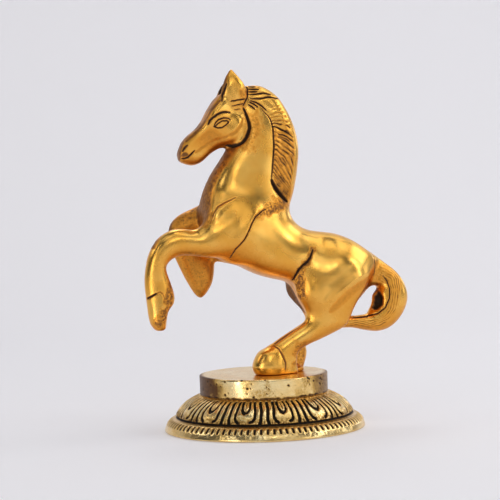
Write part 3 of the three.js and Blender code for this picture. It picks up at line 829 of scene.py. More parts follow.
def chase_tail(work):
    x, z = work.points[:, 0], work.points[:, 2]
    near = np.flatnonzero((x > 31) & (z > 12) & (z < 47))
    t, s, past, _, reach, *_ = tail.place(x[near], z[near]).T
    side = np.sign(work.points[near, 1])
    facing = smooth(0.1, 0.45, work.normals[near, 1] * side)
    root = smooth(0.2, 0.08, t)
    inner = -0.62 + 0.35 * smooth(0.15, 0.3, t) - 0.25 * smooth(0.55, 0.8, t)
    outer = 0.95 - 0.5 * smooth(0.2, 0.4, t) + 0.35 * smooth(0.6, 0.8, t)
    band = smooth(inner, inner + 0.12, s) * smooth(outer, outer - 0.2, s) * (past == 0)
    band = band * smooth(0.0, 0.05, t)
    work.fine[near] |= band > 0.1
    phase = s * reach / 0.95 + t * 3 + 0.5 * noise(work.points[near], 2.5)
    hair = np.clip(0.5 + 0.5 * np.cos(2 * np.pi * phase), 0, 1) ** 2
    fade = np.clip(0.8 + 0.6 * noise(work.points[near], 1.4, 5.5), 0.1, 1)
    amount = hair * band * facing * fade * (1 - 0.6 * root)
    work.raised[near] -= 0.22 * amount
    work.dark[near] = np.maximum(work.dark[near], 0.45 * amount)
    rough = band * facing * (0.15 + 0.3 * root)
    work.rough[near] = np.maximum(work.rough[near], rough)
    work.cut([[48.4, 35.8], [49.9, 33.7], [50.7, 30.5], [50.4, 27.0], [48.8, 23.4],
              [45.9, 21.2], [41.5, 20.0], [35.8, 19.7]], 0.5, 0.3, dark=0.85)
    work.cut([[44.9, 44.3], [45.2, 40.2], [44.7, 36.3]], 0.4, 0.3, dark=0.7)


def chase_body(work):
    rear = [[0.8, 63.6], [-0.8, 63.0], [-3.8, 60.8], [-5.5, 58.2], [-6.4, 56.3], [-7.6, 54.1],
            [-8.8, 52.2], [-10.5, 50.4], [-12.1, 48.9], [-13.0, 47.3], [-13.9, 45.6]]
    work.step(rear[::-1], 0.6, 5.0)
    work.cut(rear, 0.5, 0.4, dark=0.9)
    front = [[-21.8, 58.8], [-21.0, 60.4], [-19.8, 63.0], [-18.2, 65.2], [-15.2, 66.8],
             [-12.4, 67.8], [-10.6, 68.6]]
    work.step(front[::-1], 0.4, 3.0)
    work.cut(front, 0.5, 0.3, dark=0.45)
    work.hollow([[-21.4, 56.8], [-18.0, 59.8], [-14.9, 62.6], [-10.7, 65.4]], 5.0, 0.4)
    work.hollow([[-7.4, 92.0], [-9.4, 86.0], [-11.6, 79.0], [-14.6, 70.0]], 8.0, -0.6)
    work.hollow([[-35.2, 55.9], [-31.8, 56.0], [-28.6, 55.9], [-24.5, 55.6]], 2.2, 0.3, LEFT)
    work.grain([[-34.0, 47.6], [-30.4, 47.9], [-26.4, 47.2], [-22.0, 46.4]], 1.2, 0.6, LEFT)
    work.cut([[-46.9, 31.2], [-45.8, 31.8], [-44.5, 32.5], [-43.1, 33.3]], 0.6, 0.45, LEFT,
             taper=False)
    work.cut([[-43.1, 33.3], [-41.5, 34.0], [-40.4, 33.2], [-39.7, 31.0]], 0.6, 0.3, LEFT,
             dark=0.35)
    ridge = [[42.6, 38.0], [39.0, 36.8], [34.2, 34.4], [30.4, 31.6], [27.0, 28.8], [23.8, 26.2]]
    work.step(ridge[::-1], 0.6, 6.0)
    work.hollow(ridge, 2.4, -0.5)
    work.hollow([[x + 1.2, z - 3.4] for x, z in ridge], 4.5, 0.5)
    # Painted shade in a broad band under the ridge; the line has no depth.
    work.cut([[x + 0.9, z - 2.6] for x, z in ridge], 3.6, 0.0, dark=0.2)
    work.hollow([[23.0, 55.0], [23.7, 50.6], [24.2, 45.5], [23.0, 38.0]], 6.5, 0.55)
    work.hollow([[23.9, 32.6], [22.7, 29.9], [22.0, 27.6]], 1.6, 0.4)
    work.hollow([[17.0, 37.0], [17.4, 31.6], [18.8, 27.0]], 4.0, -0.5)
    work.cut([[15.2, 19.2], [10.6, 16.6], [6.7, 14.1], [2.9, 11.6]], 0.5, 0.3, LEFT, dark=0.5)
    flank = [[18.8, 47.4], [17.5, 44.6], [16.2, 42.9], [14.3, 41.4], [12.8, 39.8], [11.7, 37.8],
             [11.0, 36.0]]
    work.hollow(flank, 4.5, 0.5)
    work.cut(flank, 0.9, 0.6, dark=0.9)
    work.grain(flank, 1.8, 0.7)
    work.grain([[13.6, 39.2], [13.4, 35.0], [14.4, 30.8]], 2.8, 0.9)
    work.cut([[2.5, 11.1], [4.1, 10.0], [5.6, 7.1], [6.6, 4.4], [6.5, 1.6]], 0.7, 0.4, LEFT, dark=0.5)
    work.grain([[-0.9, 61.8], [3.5, 64.3], [8.1, 66.9], [8.7, 69.0]], 3.6, 0.8)
    work.grain([[-12.6, 84.5], [-15.2, 80.6], [-18.6, 75.8], [-21.0, 71.0], [-21.8, 65.0]], 2.2, 0.8)
    work.grain([[-24.0, 58.5], [-22.1, 61.6]], 2.0, 0.5)
    work.grain([[-36.8, 36.3], [-37.7, 31.5], [-39.0, 26.3], [-41.9, 22.0]], 2.6, 0.8, LEFT)
    work.grain([[13.6, 8.5], [13.7, 5.3], [14.0, 0.5]], 5.0, 0.6)
    work.grain([[-28.7, 61.5], [-25.6, 62.2], [-23.4, 61.4]], 4.5, 0.6, BOTH)
    # A deep hollow in the tail's inner face, with the shade inside it painted black.
    work.cut([[45.9, 28.8], [46.5, 27.0], [46.3, 25.2], [45.2, 24.2]], 2.6, 1.6, taper=False)
    x, y, z = work.points.T
    # Painted shade on the side of the far foreleg that faces the view, where the body shades it; it is also
    # left rough.
    shade = (y > 2) * (x < -14) * (z < 70) * smooth(0.2, -0.4, work.normals[:, 1])
    work.rough = np.maximum(work.rough, 0.5 * shade)
    work.dark = np.maximum(work.dark, 0.2 * shade)
    # Painted shade on the forward-facing planes of the neck and breast, which are also left rough.
    front_plane_shade = smooth(-0.5, -0.85, work.normals[:, 0]) * smooth(-5, -9, x) * (z > 50) * (z < 92)
    work.rough = np.maximum(work.rough, 0.6 * front_plane_shade)
    work.dark = np.maximum(work.dark, 0.4 * front_plane_shade)
    # Painted shade: the undersides are tinted darker and warmer.
    under = smooth(0.15, -0.7, work.normals[:, 2])
    work.dark = np.maximum(work.dark, 0.2 * under)
    # The groin: rough ground on the far thigh's forward face, darkened as painted shade where the belly and
    # near thigh hide it.
    groin = (y > 0) * smooth(9, 12, x) * smooth(24, 20, x) * smooth(20, 24, z) * smooth(44, 40, z)
    groin = groin * smooth(0.1, -0.5, work.normals[:, 0])
    work.rough = np.maximum(work.rough, 0.7 * groin)
    work.dark = np.maximum(work.dark, 0.5 * groin)


def patina(block, whole, points, normals):
    """How sheltered each point is, from 0 in the open to 1 in a deep corner."""
    reach = 1.8
    slope = np.maximum(np.linalg.norm(slope_of(block, whole, points), axis=1), 0.2)
    height = sample(block, whole, points + normals * reach) / (reach * slope)
    return smooth(0.25, 0.85, 1 - height)


def directions(block, values, points):
    """The way out of a form at some points."""
    normals = slope_of(block, values, points)
    return normals / np.maximum(np.linalg.norm(normals, axis=1, keepdims=True), 1e-9)


def chased(points, normals):
    work = Chasing(points, normals)
    chase_head(work)
    chase_mane(work)
    chase_tail(work)
    chase_body(work)
    return work


def refine(points, faces, marked):
    """Splits the marked four-sided faces in four. Returns points and faces grouped by size."""
    if not marked.any():
        return points, [faces]
    n = len(points)
    a, b = faces, np.roll(faces, -1, 1)
    keys = np.minimum(a, b).astype(np.int64) * n + np.maximum(a, b)
    used = np.unique(keys[marked])
    middle = (points[used // n] + points[used % n]) / 2
    at = np.clip(np.searchsorted(used, keys), 0, len(used) - 1)
    half = np.where(used[at] == keys, n + at, -1)
    centre = np.arange(marked.sum()) + n + len(used)
    points = np.vstack([points, middle, points[faces[marked]].mean(1)])
    f, h = faces[marked], half[marked]
    split = [np.stack([f[:, k], h[:, k], centre, h[:, k - 1]], 1) for k in range(4)]
    extra = (half[~marked] >= 0).sum(1)
    groups = [np.vstack(split + [faces[~marked][extra == 0]])]
    for count in range(1, 5):
        rows = zip(faces[~marked][extra == count], half[~marked][extra == count])
        group = [[v for pair in zip(f, h) for v in pair if v >= 0] for f, h in rows]
        if group:
            groups.append(np.array(group))
    return points, groups


def horse_pieces():
    castings = sculpt()
    block = castings["horse_body"]
    whole = fuse(castings)
    for name in castings:
        values = divide(castings, whole, name)
        points, faces = smooth_skin(block, values)
        centres = points[faces].mean(1)
        marked = chased(centres, directions(block, values, centres)).fine
        points, groups = refine(points, faces, marked)
        slope = slope_of(block, values, points)
        height = sample(block, values, points)
        steep = np.maximum((slope**2).sum(1), 0.05)
        step = np.clip(height / steep, -block.step, block.step)
        points = points - slope * step[:, None]
        normals = directions(block, values, points)
        work = chased(points, normals)
        work.texture()
        sheltered = patina(block, whole, points, normals)
        dark = np.maximum(work.dark, 0.55 * sheltered)
        on_ground = points[:, 2] < 0.4
        raised = np.where(on_ground, 0, work.raised)
        moved = points + normals * raised[:, None]
        moved[:, 2] = np.maximum(moved[:, 2], 0)
        yield name, (moved + (0, 0, HOOF_PLANE)) * MM, groups, dark, work.rough


# Meshes and materials


def mesh_object(name, points, groups, material, attributes=None):
    mesh = bpy.data.meshes.new(name)
    mesh.vertices.add(len(points))
    mesh.vertices.foreach_set("co", np.asarray(points, np.float32).ravel())
    groups = [np.asarray(g) for g in groups if len(g)]
    sizes = np.concatenate([np.full(len(g), g.shape[1]) for g in groups])
    corners = np.concatenate([g.ravel() for g in groups]).astype(np.int32)
    mesh.loops.add(len(corners))
    mesh.loops.foreach_set("vertex_index", corners)
    mesh.polygons.add(len(sizes))
    starts = np.concatenate([[0], np.cumsum(sizes)[:-1]]).astype(np.int32)
    mesh.polygons.foreach_set("loop_start", starts)
    mesh.polygons.foreach_set("use_smooth", np.ones(len(sizes), bool))
    mesh.update(calc_edges=True)
    for key, values in (attributes or {}).items():
        layer = mesh.attributes.new(key, "FLOAT", "POINT")
        layer.data.foreach_set("value", np.asarray(values, np.float32))
    mesh.materials.append(material)
    thing = bpy.data.objects.new(name, mesh)
    bpy.context.scene.collection.objects.link(thing)
    return thing


class Paint:
    """A node material, built one node at a time."""

    def __init__(self, name):
        self.material = bpy.data.materials.new(name)
        self.material.use_nodes = True
        self.tree = self.material.node_tree
        self.shader = self.tree.nodes["Principled BSDF"]
        self.place = self.node("ShaderNodeTexCoord").outputs["Object"]

    def node(self, kind, **settings):
        made = self.tree.nodes.new(kind)
        for key, value in settings.items():
            setattr(made, key, value)
        return made

    def put(self, socket, value):
        if isinstance(value, bpy.types.NodeSocket):
            self.tree.links.new(value, socket)
        else:
            socket.default_value = value

    def noise(self, size, detail=3.0, rough=0.55):
        """Noise whose lumps are about size metres across."""
        made = self.node("ShaderNodeTexNoise")
        self.put(made.inputs["Vector"], self.place)
        self.put(made.inputs["Scale"], 1 / size)
        self.put(made.inputs["Detail"], detail)
        self.put(made.inputs["Roughness"], rough)
        return made.outputs["Fac"]

    def attribute(self, name):
        return self.node("ShaderNodeAttribute", attribute_name=name).outputs["Fac"]

    def sum(self, operation, a, b, clamp=False):
        made = self.node("ShaderNodeMath", operation=operation, use_clamp=clamp)
        self.put(made.inputs[0], a)
        self.put(made.inputs[1], b)
        return made.outputs[0]

    def span(self, value, low, high, to_low=0.0, to_high=1.0):
        made = self.node("ShaderNodeMapRange")
        for socket, number in zip(("Value", "From Min", "From Max", "To Min", "To Max"),
                                  (value, low, high, to_low, to_high)):
            self.put(made.inputs[socket], number)
        return made.outputs[0]

    def mix(self, share, a, b):
        made = self.node("ShaderNodeMix", data_type="RGBA")
        self.put(made.inputs[0], share)
        self.put(made.inputs[6], a)
        self.put(made.inputs[7], b)
        return made.outputs[2]

    def bump(self, height, distance, strength=1.0, below=None):
        made = self.node("ShaderNodeBump")
        self.put(made.inputs["Strength"], strength)
        self.put(made.inputs["Distance"], distance)
        self.put(made.inputs["Height"], height)
        if below is not None:
            self.put(made.inputs["Normal"], below)
        return made.outputs["Normal"]


def gilt(name, bright, warm, stain_and_shade_tones, polish, wear):
    """Gold plate over a casting, with brown left in the hollows and on rough ground, and painted shade
    where the pieces carry it in the same attribute.
    """
    paint = Paint(name)
    # The tarnish attribute holds real patina and painted shade together.
    dark = paint.attribute("tarnish_and_shade")
    rough = paint.attribute("rough")
    cloud = paint.noise(0.009, 2.0)
    speck = paint.noise(0.0011, 4.0, 0.65)
    fine = paint.noise(0.0004, 2.0)
    uneven = paint.span(speck, 0.3, 0.7, 0.95, 1.5)
    stain_and_shade = paint.sum("MULTIPLY", dark, uneven, clamp=True)
    coarse = paint.span(paint.noise(0.0008, 3.0, 0.6), 0.38, 0.66, 0.1, 0.8)
    stain_and_shade = paint.sum("MAXIMUM", stain_and_shade, paint.sum("MULTIPLY", rough, coarse))
    specks = paint.span(speck, 0.60, 0.72, 0.0, wear)
    stain_and_shade = paint.sum("MAXIMUM", stain_and_shade, specks)
    tone = paint.mix(paint.span(cloud, 0.35, 0.65), bright, warm)
    for start, end, colour in zip((0.0, 0.2, 0.55), (0.2, 0.55, 0.95), stain_and_shade_tones):
        tone = paint.mix(paint.span(stain_and_shade, start, end), tone, colour)
    paint.put(paint.shader.inputs["Base Color"], tone)
    paint.put(paint.shader.inputs["Metallic"], paint.span(stain_and_shade, 0.3, 1.0, 1.0, 0.15))
    paint.put(paint.shader.inputs["Specular IOR Level"], paint.span(stain_and_shade, 0.5, 1.0, 0.5, 0.15))
    base = paint.span(cloud, 0.3, 0.7, polish, polish + 0.06)
    dull = paint.sum("ADD", paint.sum("MULTIPLY", stain_and_shade, 0.35), base)
    dull = paint.sum("ADD", dull, paint.sum("MULTIPLY", rough, 0.12))
    paint.put(paint.shader.inputs["Roughness"], dull)
    soft = paint.bump(paint.noise(0.0045, 2.0), 0.00002, 1.0)
    grit = paint.sum("MULTIPLY", fine, paint.span(rough, 0.0, 1.0, 0.12, 1.0))
    pitted = paint.sum("MULTIPLY", paint.sum("MULTIPLY", coarse, rough), -1.5)
    grit = paint.sum("ADD", grit, pitted)
    paint.put(paint.shader.inputs["Normal"], paint.bump(grit, 0.00010, 1.0, soft))
    return paint.material


horse_gold = gilt("gilt horse", (0.96, 0.55, 0.12, 1), (0.90, 0.45, 0.07, 1),
                  ((0.78, 0.33, 0.045, 1), (0.25, 0.10, 0.025, 1), (0.030, 0.014, 0.005, 1)),
                  0.22, 0.06)
plinth_gold = gilt("gilt pedestal", (1.0, 0.81, 0.43, 1), (0.94, 0.64, 0.24, 1),
                   ((0.70, 0.44, 0.13, 1), (0.16, 0.065, 0.014, 1), (0.012, 0.008, 0.004, 1)),
                   0.15, 0.46)


def declare(piece, node):
    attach(piece, "root")
    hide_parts(node)
    return piece


for name, points, groups, dark, rough in horse_pieces():
    piece = mesh_object(name + "_casting", points, groups, horse_gold,
                        {"tarnish_and_shade": dark, "rough": rough})
    declare(piece, name)

# Pedestal, in millimetres above the table

CAP_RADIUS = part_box("plinth_cap")[1].x / MM
CAP_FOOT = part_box("plinth_cap")[0].z / MM
CAP_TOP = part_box("plinth_cap")[1].z / MM
CAP_WALL = 2.8
CAP_EDGE = 0.5
SKIRT_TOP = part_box("petal_skirt")[1].z / MM
RIM_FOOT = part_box("petal_skirt")[0].z / MM
RIM_RADIUS = 39.0
RIM_TOP = 5.5
DOME_RADIUS = 34.9
DOME_HEIGHT = SKIRT_TOP - RIM_TOP
DOME_FALL = 1.36  # 1 for a plain oval dome, more for a straighter slope
CEILING = 10.0
HOLLOW_RADIUS = 31.1
LEDGE_RADIUS = 33.9
LEDGE = 3.15
PETALS = 14
NOTCHES = 7
PITCH = 2 * math.pi / PETALS
SPREAD = 34.0  # the radius at which the widths in the pattern are measured


def to_line(x, v, line):
    """Distance of points from a bent line in the petal pattern."""
    best = np.full(x.shape, 1e9)
    for (ax, av), (bx, bv) in zip(line[:-1], line[1:]):
        wx, wv = bx - ax, bv - av
        t = np.clip(((x - ax) * wx + (v - av) * wv) / (wx * wx + wv * wv), 0, 1)
        best = np.minimum(best, np.hypot(x - ax - t * wx, v - av - t * wv))
    return best


def petal_pattern(x, v):
    """Depth and darkness of the petals' grooves. x is sideways from a petal's middle and v
    is down from the cap."""
    depth = np.zeros(x.shape)
    lines = [
        (1.0, [(-1.8, -1), (-1.75, 1.2), (-1.6, 2.4), (-1.0, 3.4), (-0.1, 3.9)]),
        (0.75, [(0.1, 3.9), (1.0, 3.4), (1.65, 2.3), (1.5, 1.0), (1.3, -1)]),
        (1.0, [(-3.3, -1), (-3.7, 2.0), (-3.9, 4.0), (-3.8, 5.4), (-3.2, 6.5), (-2.3, 7.1)]),
        (0.9, [(3.3, -1), (3.7, 2.0), (3.9, 4.0), (3.8, 5.6), (3.1, 6.6), (2.3, 6.9)]),
        (1.05, [(-6.1, -1), (-6.35, 3.0), (-6.3, 6.0), (-5.9, 7.6)]),
        (1.05, [(6.1, -1), (6.35, 3.0), (6.3, 6.0), (5.9, 7.6)]),
        (0.4, [(-7.63, 6.6), (-7.63, 7.6)]),
        (0.4, [(7.63, 6.6), (7.63, 7.6)]),
        (0.35, [(-0.1, 0.6), (0.0, 2.6)]),
        (0.6, [(-8, 8.05), (8, 8.05)]),
    ]
    for width, line in lines:
        away = to_line(x, v, line)
        groove = np.clip(width, 0, 0.85) * np.exp(-((away / (0.56 * width)) ** 4))
        depth = np.maximum(depth, groove)
    return depth


def skirt_sector(columns):
    """One petal's share of the skirt: points, faces, groove darkness."""
    dome_rows = columns * 5 // 8
    rim_rows = columns // 4
    turn = np.linspace(-PITCH / 2, PITCH / 2, columns + 1)
    x = turn * SPREAD
    rows, dark, rough = [], [], []

    def ring(r, z, tone=0.0, coarse=0.2):
        rows.append((r, z))
        dark.append(np.broadcast_to(tone, x.shape))
        rough.append(np.full(x.shape, coarse))

    def still(r, z):
        ring(np.full(x.shape, float(r)), np.full(x.shape, float(z)))

    for r in (0.0, 12.0, CAP_RADIUS - 1.5):
        still(r, SKIRT_TOP)
    for i in range(dome_rows + 1):
        angle = math.pi / 2 * i / dome_rows
        out, up = math.sin(angle) ** DOME_FALL, math.cos(angle) ** DOME_FALL
        v = np.full(x.shape, DOME_HEIGHT * (1 - up))
        groove = petal_pattern(x, v) * min(1.0, 12 * out)
        pillow = 0.25 * np.cos(np.clip(x / 3.6, -1, 1) * np.pi / 2) * math.sin(2 * angle)
        sunk = np.clip(groove + 0.25 - pillow, 0, 1.1)
        ring(CAP_RADIUS + (DOME_RADIUS - CAP_RADIUS - sunk) * out,
             RIM_TOP + (DOME_HEIGHT - sunk) * up, smooth(0.12, 0.42, groove),
             # The roughness darkens the gold: towards the petals' feet it is rough ground, and just under
             # the cap's edge it is painted shade.
             0.15 + 0.7 * float(smooth(4.5, 7.5, v[0])) + 0.3 * float(smooth(1.6, 0.4, v[0])))
    pitch = PITCH * SPREAD / NOTCHES
    phase = np.abs((x / pitch + 0.5) % 1 - 0.5) * pitch
    for i in range(rim_rows + 1):
        angle = math.pi / 2 * i / rim_rows
        out, up = math.sin(angle), math.cos(angle)
        window = smooth(0.02, 0.1, 1 - up) * smooth(0.52, 0.36, 1 - up)
        notch = 0.55 * np.exp(-((phase / 0.42) ** 2)) * window
        ring(DOME_RADIUS + (RIM_RADIUS - DOME_RADIUS - notch - 0.05) * out,
             RIM_FOOT + (RIM_TOP - 0.5 - RIM_FOOT - notch) * up, np.clip(2.1 * notch, 0, 1),
             0.15 + 0.35 * float(smooth(0.7, 0.95, up)))
    for r, z in ((37.5, RIM_FOOT), (35.6, RIM_FOOT), (LEDGE_RADIUS, RIM_FOOT),
                 (LEDGE_RADIUS, 1.7), (LEDGE_RADIUS, LEDGE), (32.4, LEDGE),
                 (HOLLOW_RADIUS, LEDGE)):
        still(r, z)
    for i in range(1, 6):
        angle = math.pi / 2 * i / 6
        still(22.4 + (HOLLOW_RADIUS - 22.4) * math.cos(angle),
              LEDGE + (CEILING - LEDGE) * math.sin(angle))
    for r in (22.4, 11.0, 0.0):
        still(r, CEILING)
    r = np.array([row[0] for row in rows])
    z = np.array([row[1] for row in rows])
    points = np.stack([r * np.sin(turn), -r * np.cos(turn), z], 2).reshape(-1, 3)
    index = np.arange(len(points)).reshape(r.shape)
    faces = np.stack([index[:-1, :-1], index[1:, :-1], index[1:, 1:], index[:-1, 1:]], 2)
    return points * MM, faces.reshape(-1, 4), np.array(dark).ravel(), np.array(rough).ravel()


def ring_tool():
    """Geometry Nodes that set copies of a sector round the axis and weld them."""
    tree = bpy.data.node_groups.new("petals in a ring", "GeometryNodeTree")
    face = tree.interface
    face.new_socket("Geometry", in_out="INPUT", socket_type="NodeSocketGeometry")
    sockets = {}
    for name, kind in (("Petals", "NodeSocketInt"), ("Weld", "NodeSocketFloat"),
                       ("Metal", "NodeSocketMaterial")):
        made = face.new_socket(name, in_out="INPUT", socket_type=kind)
        sockets[name] = made.identifier
    face.new_socket("Geometry", in_out="OUTPUT", socket_type="NodeSocketGeometry")
    new, link = tree.nodes.new, tree.links.new
    start, end = new("NodeGroupInput"), new("NodeGroupOutput")
    dots = new("GeometryNodePoints")
    link(start.outputs["Petals"], dots.inputs["Count"])
    part = new("ShaderNodeMath")
    part.operation = "DIVIDE"
    link(new("GeometryNodeInputIndex").outputs[0], part.inputs[0])
    link(start.outputs["Petals"], part.inputs[1])
    turn = new("ShaderNodeMath")
    turn.operation = "MULTIPLY"
    link(part.outputs[0], turn.inputs[0])
    turn.inputs[1].default_value = 2 * math.pi
    angles = new("ShaderNodeCombineXYZ")
    link(turn.outputs[0], angles.inputs["Z"])
    copies = new("GeometryNodeInstanceOnPoints")
    link(dots.outputs["Geometry"] if "Geometry" in dots.outputs else dots.outputs[0],
         copies.inputs["Points"])
    link(start.outputs["Geometry"], copies.inputs["Instance"])
    link(angles.outputs[0], copies.inputs["Rotation"])
    real = new("GeometryNodeRealizeInstances")
    link(copies.outputs[0], real.inputs[0])
    weld = new("GeometryNodeMergeByDistance")
    link(real.outputs[0], weld.inputs["Geometry"])
    link(start.outputs["Weld"], weld.inputs["Distance"])
    cover = new("GeometryNodeSetMaterial")
    link(weld.outputs[0], cover.inputs["Geometry"])
    link(start.outputs["Metal"], cover.inputs["Material"])
    link(cover.outputs[0], end.inputs[0])
    return tree, sockets


def applied(thing, name):
    """A plain copy of an object's mesh with its modifiers worked in."""
    graph = bpy.context.evaluated_depsgraph_get()
    mesh = bpy.data.meshes.new_from_object(thing.evaluated_get(graph), depsgraph=graph)
    mesh.name = name
    made = bpy.data.objects.new(name, mesh)
    bpy.context.scene.collection.objects.link(made)
    old = thing.data
    bpy.data.objects.remove(thing)
    bpy.data.meshes.remove(old)
    return made


def petal_skirt():
    points, faces, dark, rough = skirt_sector(72)
    sector = mesh_object("petal sector", points, [faces], plinth_gold,
                         {"tarnish_and_shade": dark, "rough": rough})
    tree, sockets = ring_tool()
    tool = sector.modifiers.new("ring", "NODES")
    tool.node_group = tree
    tool[sockets["Petals"]] = PETALS
    tool[sockets["Weld"]] = 0.00002
    tool[sockets["Metal"]] = plinth_gold
    skirt = applied(sector, "petal_skirt_chased")
    count = len(skirt.data.vertices)
    at = np.empty(count * 3, np.float32)
    skirt.data.vertices.foreach_get("co", at)
    at = at.reshape(-1, 3).astype(float) / MM
    r = np.hypot(at[:, 0], at[:, 1])
    free = smooth(CAP_RADIUS, CAP_RADIUS + 2, r) * smooth(RIM_FOOT + 0.1, 2.0, at[:, 2])
    turn = 0.30 * noise(at, 5.0) * free
    sunk = (0.10 + 0.10 * noise(at, 3.0, 4.4) + 0.05 * noise(at, 0.8, 2.2)) * free
    cross = np.stack([-at[:, 1], at[:, 0]], 1) / np.maximum(r, 1)[:, None]
    at[:, :2] += cross * turn[:, None]
    at *= (1 - sunk / 36)[:, None] * np.array([[1, 1, 0]]) + np.array([[0, 0, 1]])
    skirt.data.vertices.foreach_set("co", (at * MM).astype(np.float32).ravel())
    for polygon in skirt.data.polygons:
        polygon.use_smooth = True
    skirt.data.update()
    return skirt


declare(petal_skirt(), "petal_skirt")


def plinth_cap():
    """A cup turned over, with a softened top edge and casting pits."""
    around = 360
    profile = [(0.0, CAP_TOP), (6.0, CAP_TOP), (12.0, CAP_TOP), (17.0, CAP_TOP),
               (21.0, CAP_TOP), (23.0, CAP_TOP)]
    for k in range(5):
        angle = math.pi / 2 * k / 4
        profile.append((CAP_RADIUS - CAP_EDGE + CAP_EDGE * math.sin(angle),
                        CAP_TOP - CAP_EDGE + CAP_EDGE * math.cos(angle)))
    side = np.linspace(CAP_TOP - CAP_EDGE - 0.3, CAP_FOOT, 22)
    profile += [(CAP_RADIUS, z) for z in side]
    inner = CAP_RADIUS - CAP_WALL
    profile += [(inner, CAP_FOOT), (inner, CAP_TOP - CAP_WALL), (12.0, CAP_TOP - CAP_WALL),
                (0.0, CAP_TOP - CAP_WALL)]
    profile = np.array(profile)
    turn = 2 * np.pi * np.arange(around) / around
    r, z = profile[1:-1, 0:1], profile[1:-1, 1:2]
    ringed = np.stack([r * np.sin(turn), -r * np.cos(turn), z + 0 * turn], 2).reshape(-1, 3)
    points = np.vstack([ringed, [0, 0, profile[0, 1]], [0, 0, profile[-1, 1]]])
    rows = len(profile) - 2
    index = np.arange(rows * around).reshape(rows, around)
    beside = np.roll(index, -1, 1)
    quads = np.stack([index[:-1], index[1:], beside[1:], beside[:-1]], 2).reshape(-1, 4)
    top, bottom = len(ringed), len(ringed) + 1
    fans = [np.stack([np.full(around, top), index[0], beside[0]], 1),
            np.stack([np.full(around, bottom), beside[-1], index[-1]], 1)]
    outside = points[:, 2] > CAP_FOOT + 0.2
    outside &= np.hypot(points[:, 0], points[:, 1]) > CAP_RADIUS - 0.6
    out = np.hypot(points[:, 0], points[:, 1])
    dent = 0.12 + 0.12 * noise(points, 7.0, 1.7)
    pits = np.zeros(len(points))
    spots = np.random.RandomState(5)
    for _ in range(110):
        angle, height = spots.uniform(-np.pi, np.pi), spots.uniform(CAP_FOOT, CAP_TOP)
        size = spots.uniform(0.12, 0.38)
        away = np.hypot((np.arctan2(points[:, 0], -points[:, 1]) - angle) * CAP_RADIUS,
                        points[:, 2] - height)
        pits = np.maximum(pits, smooth(size * 1.8, size * 0.5, away))
    foot = smooth(CAP_FOOT + 1.2, CAP_FOOT, points[:, 2] + 0.5 * noise(points, 1.2))
    # Painted shade: the cap's sides turned away to the left and the right of the view are darkened.
    bearing = np.degrees(np.arctan2(points[:, 0], -points[:, 1])) + 12 + 8 * noise(points, 3.0, 6.1)
    darkening = (0.52 * smooth(-38, -56, bearing) * smooth(-112, -88, bearing)
             + 0.38 * smooth(38, 58, bearing) * smooth(112, 88, bearing))
    dark = np.where(outside, np.maximum(np.maximum(0.95 * pits, 0.75 * foot), darkening), 0.08)
    shrink = np.where(outside, 1 - (dent + 0.15 * pits) / CAP_RADIUS, 1)
    points[:, :2] *= np.minimum(shrink, 1)[:, None]
    rough = np.where(outside, 0.06 + 0.4 * smooth(0.0, 0.7, noise(points, 4.0)), 0.2)
    return mesh_object("plinth_cap_turned", points * MM, [quads] + fans, plinth_gold,
                       {"tarnish_and_shade": dark, "rough": rough})


declare(plinth_cap(), "plinth_cap")


def felt_material():
    paint = Paint("black felt")
    fibre = paint.noise(0.0006, 6.0, 0.7)
    paint.put(paint.shader.inputs["Base Color"],
              paint.mix(paint.span(fibre, 0.35, 0.65), (0.012, 0.012, 0.014, 1),
                        (0.035, 0.034, 0.038, 1)))
    paint.put(paint.shader.inputs["Roughness"], 0.95)
    paint.put(paint.shader.inputs["Sheen Weight"], 0.4)
    paint.put(paint.shader.inputs["Normal"], paint.bump(fibre, 0.0003))
    return paint.material


def felt_pad():
    """The felt under the base, with a soft edge and a slightly uneven face."""
    low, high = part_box("felt_pad")
    radius, thick = high.x / MM, (high.z - low.z) / MM
    profile = [(radius - 0.5, thick), (radius - 0.15, thick - 0.15), (radius, thick - 0.45),
               (radius, 0.4), (radius - 0.15, 0.12), (radius - 0.5, 0.0)]
    inner = [(radius * k / 14, thick) for k in range(1, 14)]
    profile = inner + profile + [(r, 0.0) for r, _ in inner[::-1]]
    around = 160
    turn = 2 * np.pi * np.arange(around) / around
    profile = np.array(profile)
    r, z = profile[:, 0:1], profile[:, 1:2]
    ringed = np.stack([r * np.sin(turn), -r * np.cos(turn), z + 0 * turn], 2).reshape(-1, 3)
    fuzz = 0.03 * noise(ringed, 2.0)
    ringed[:, 2] += np.where(ringed[:, 2] < thick / 2, 0.03 + fuzz, -0.03 + fuzz)
    points = np.vstack([ringed, [0, 0, thick - 0.02], [0, 0, 0.02]])
    index = np.arange(len(profile) * around).reshape(len(profile), around)
    beside = np.roll(index, -1, 1)
    quads = np.stack([index[:-1], index[1:], beside[1:], beside[:-1]], 2).reshape(-1, 4)
    fans = [np.stack([np.full(around, len(ringed)), index[0], beside[0]], 1),
            np.stack([np.full(around, len(ringed) + 1), beside[-1], index[-1]], 1)]
    pad = mesh_object("felt_disc", points * MM, [quads] + fans, felt_material())
    declare(pad, "felt_pad")


felt_pad()


def steel():
    paint = Paint("zinc plated steel")
    cloud = paint.noise(0.002, 3.0)
    paint.put(paint.shader.inputs["Base Color"],
              paint.mix(cloud, (0.56, 0.57, 0.58, 1), (0.68, 0.68, 0.66, 1)))
    paint.put(paint.shader.inputs["Metallic"], 1.0)
    paint.put(paint.shader.inputs["Roughness"], paint.span(cloud, 0.3, 0.7, 0.28, 0.42))
    paint.put(paint.shader.inputs["Normal"], paint.bump(paint.noise(0.0005), 0.00003))
    return paint.material


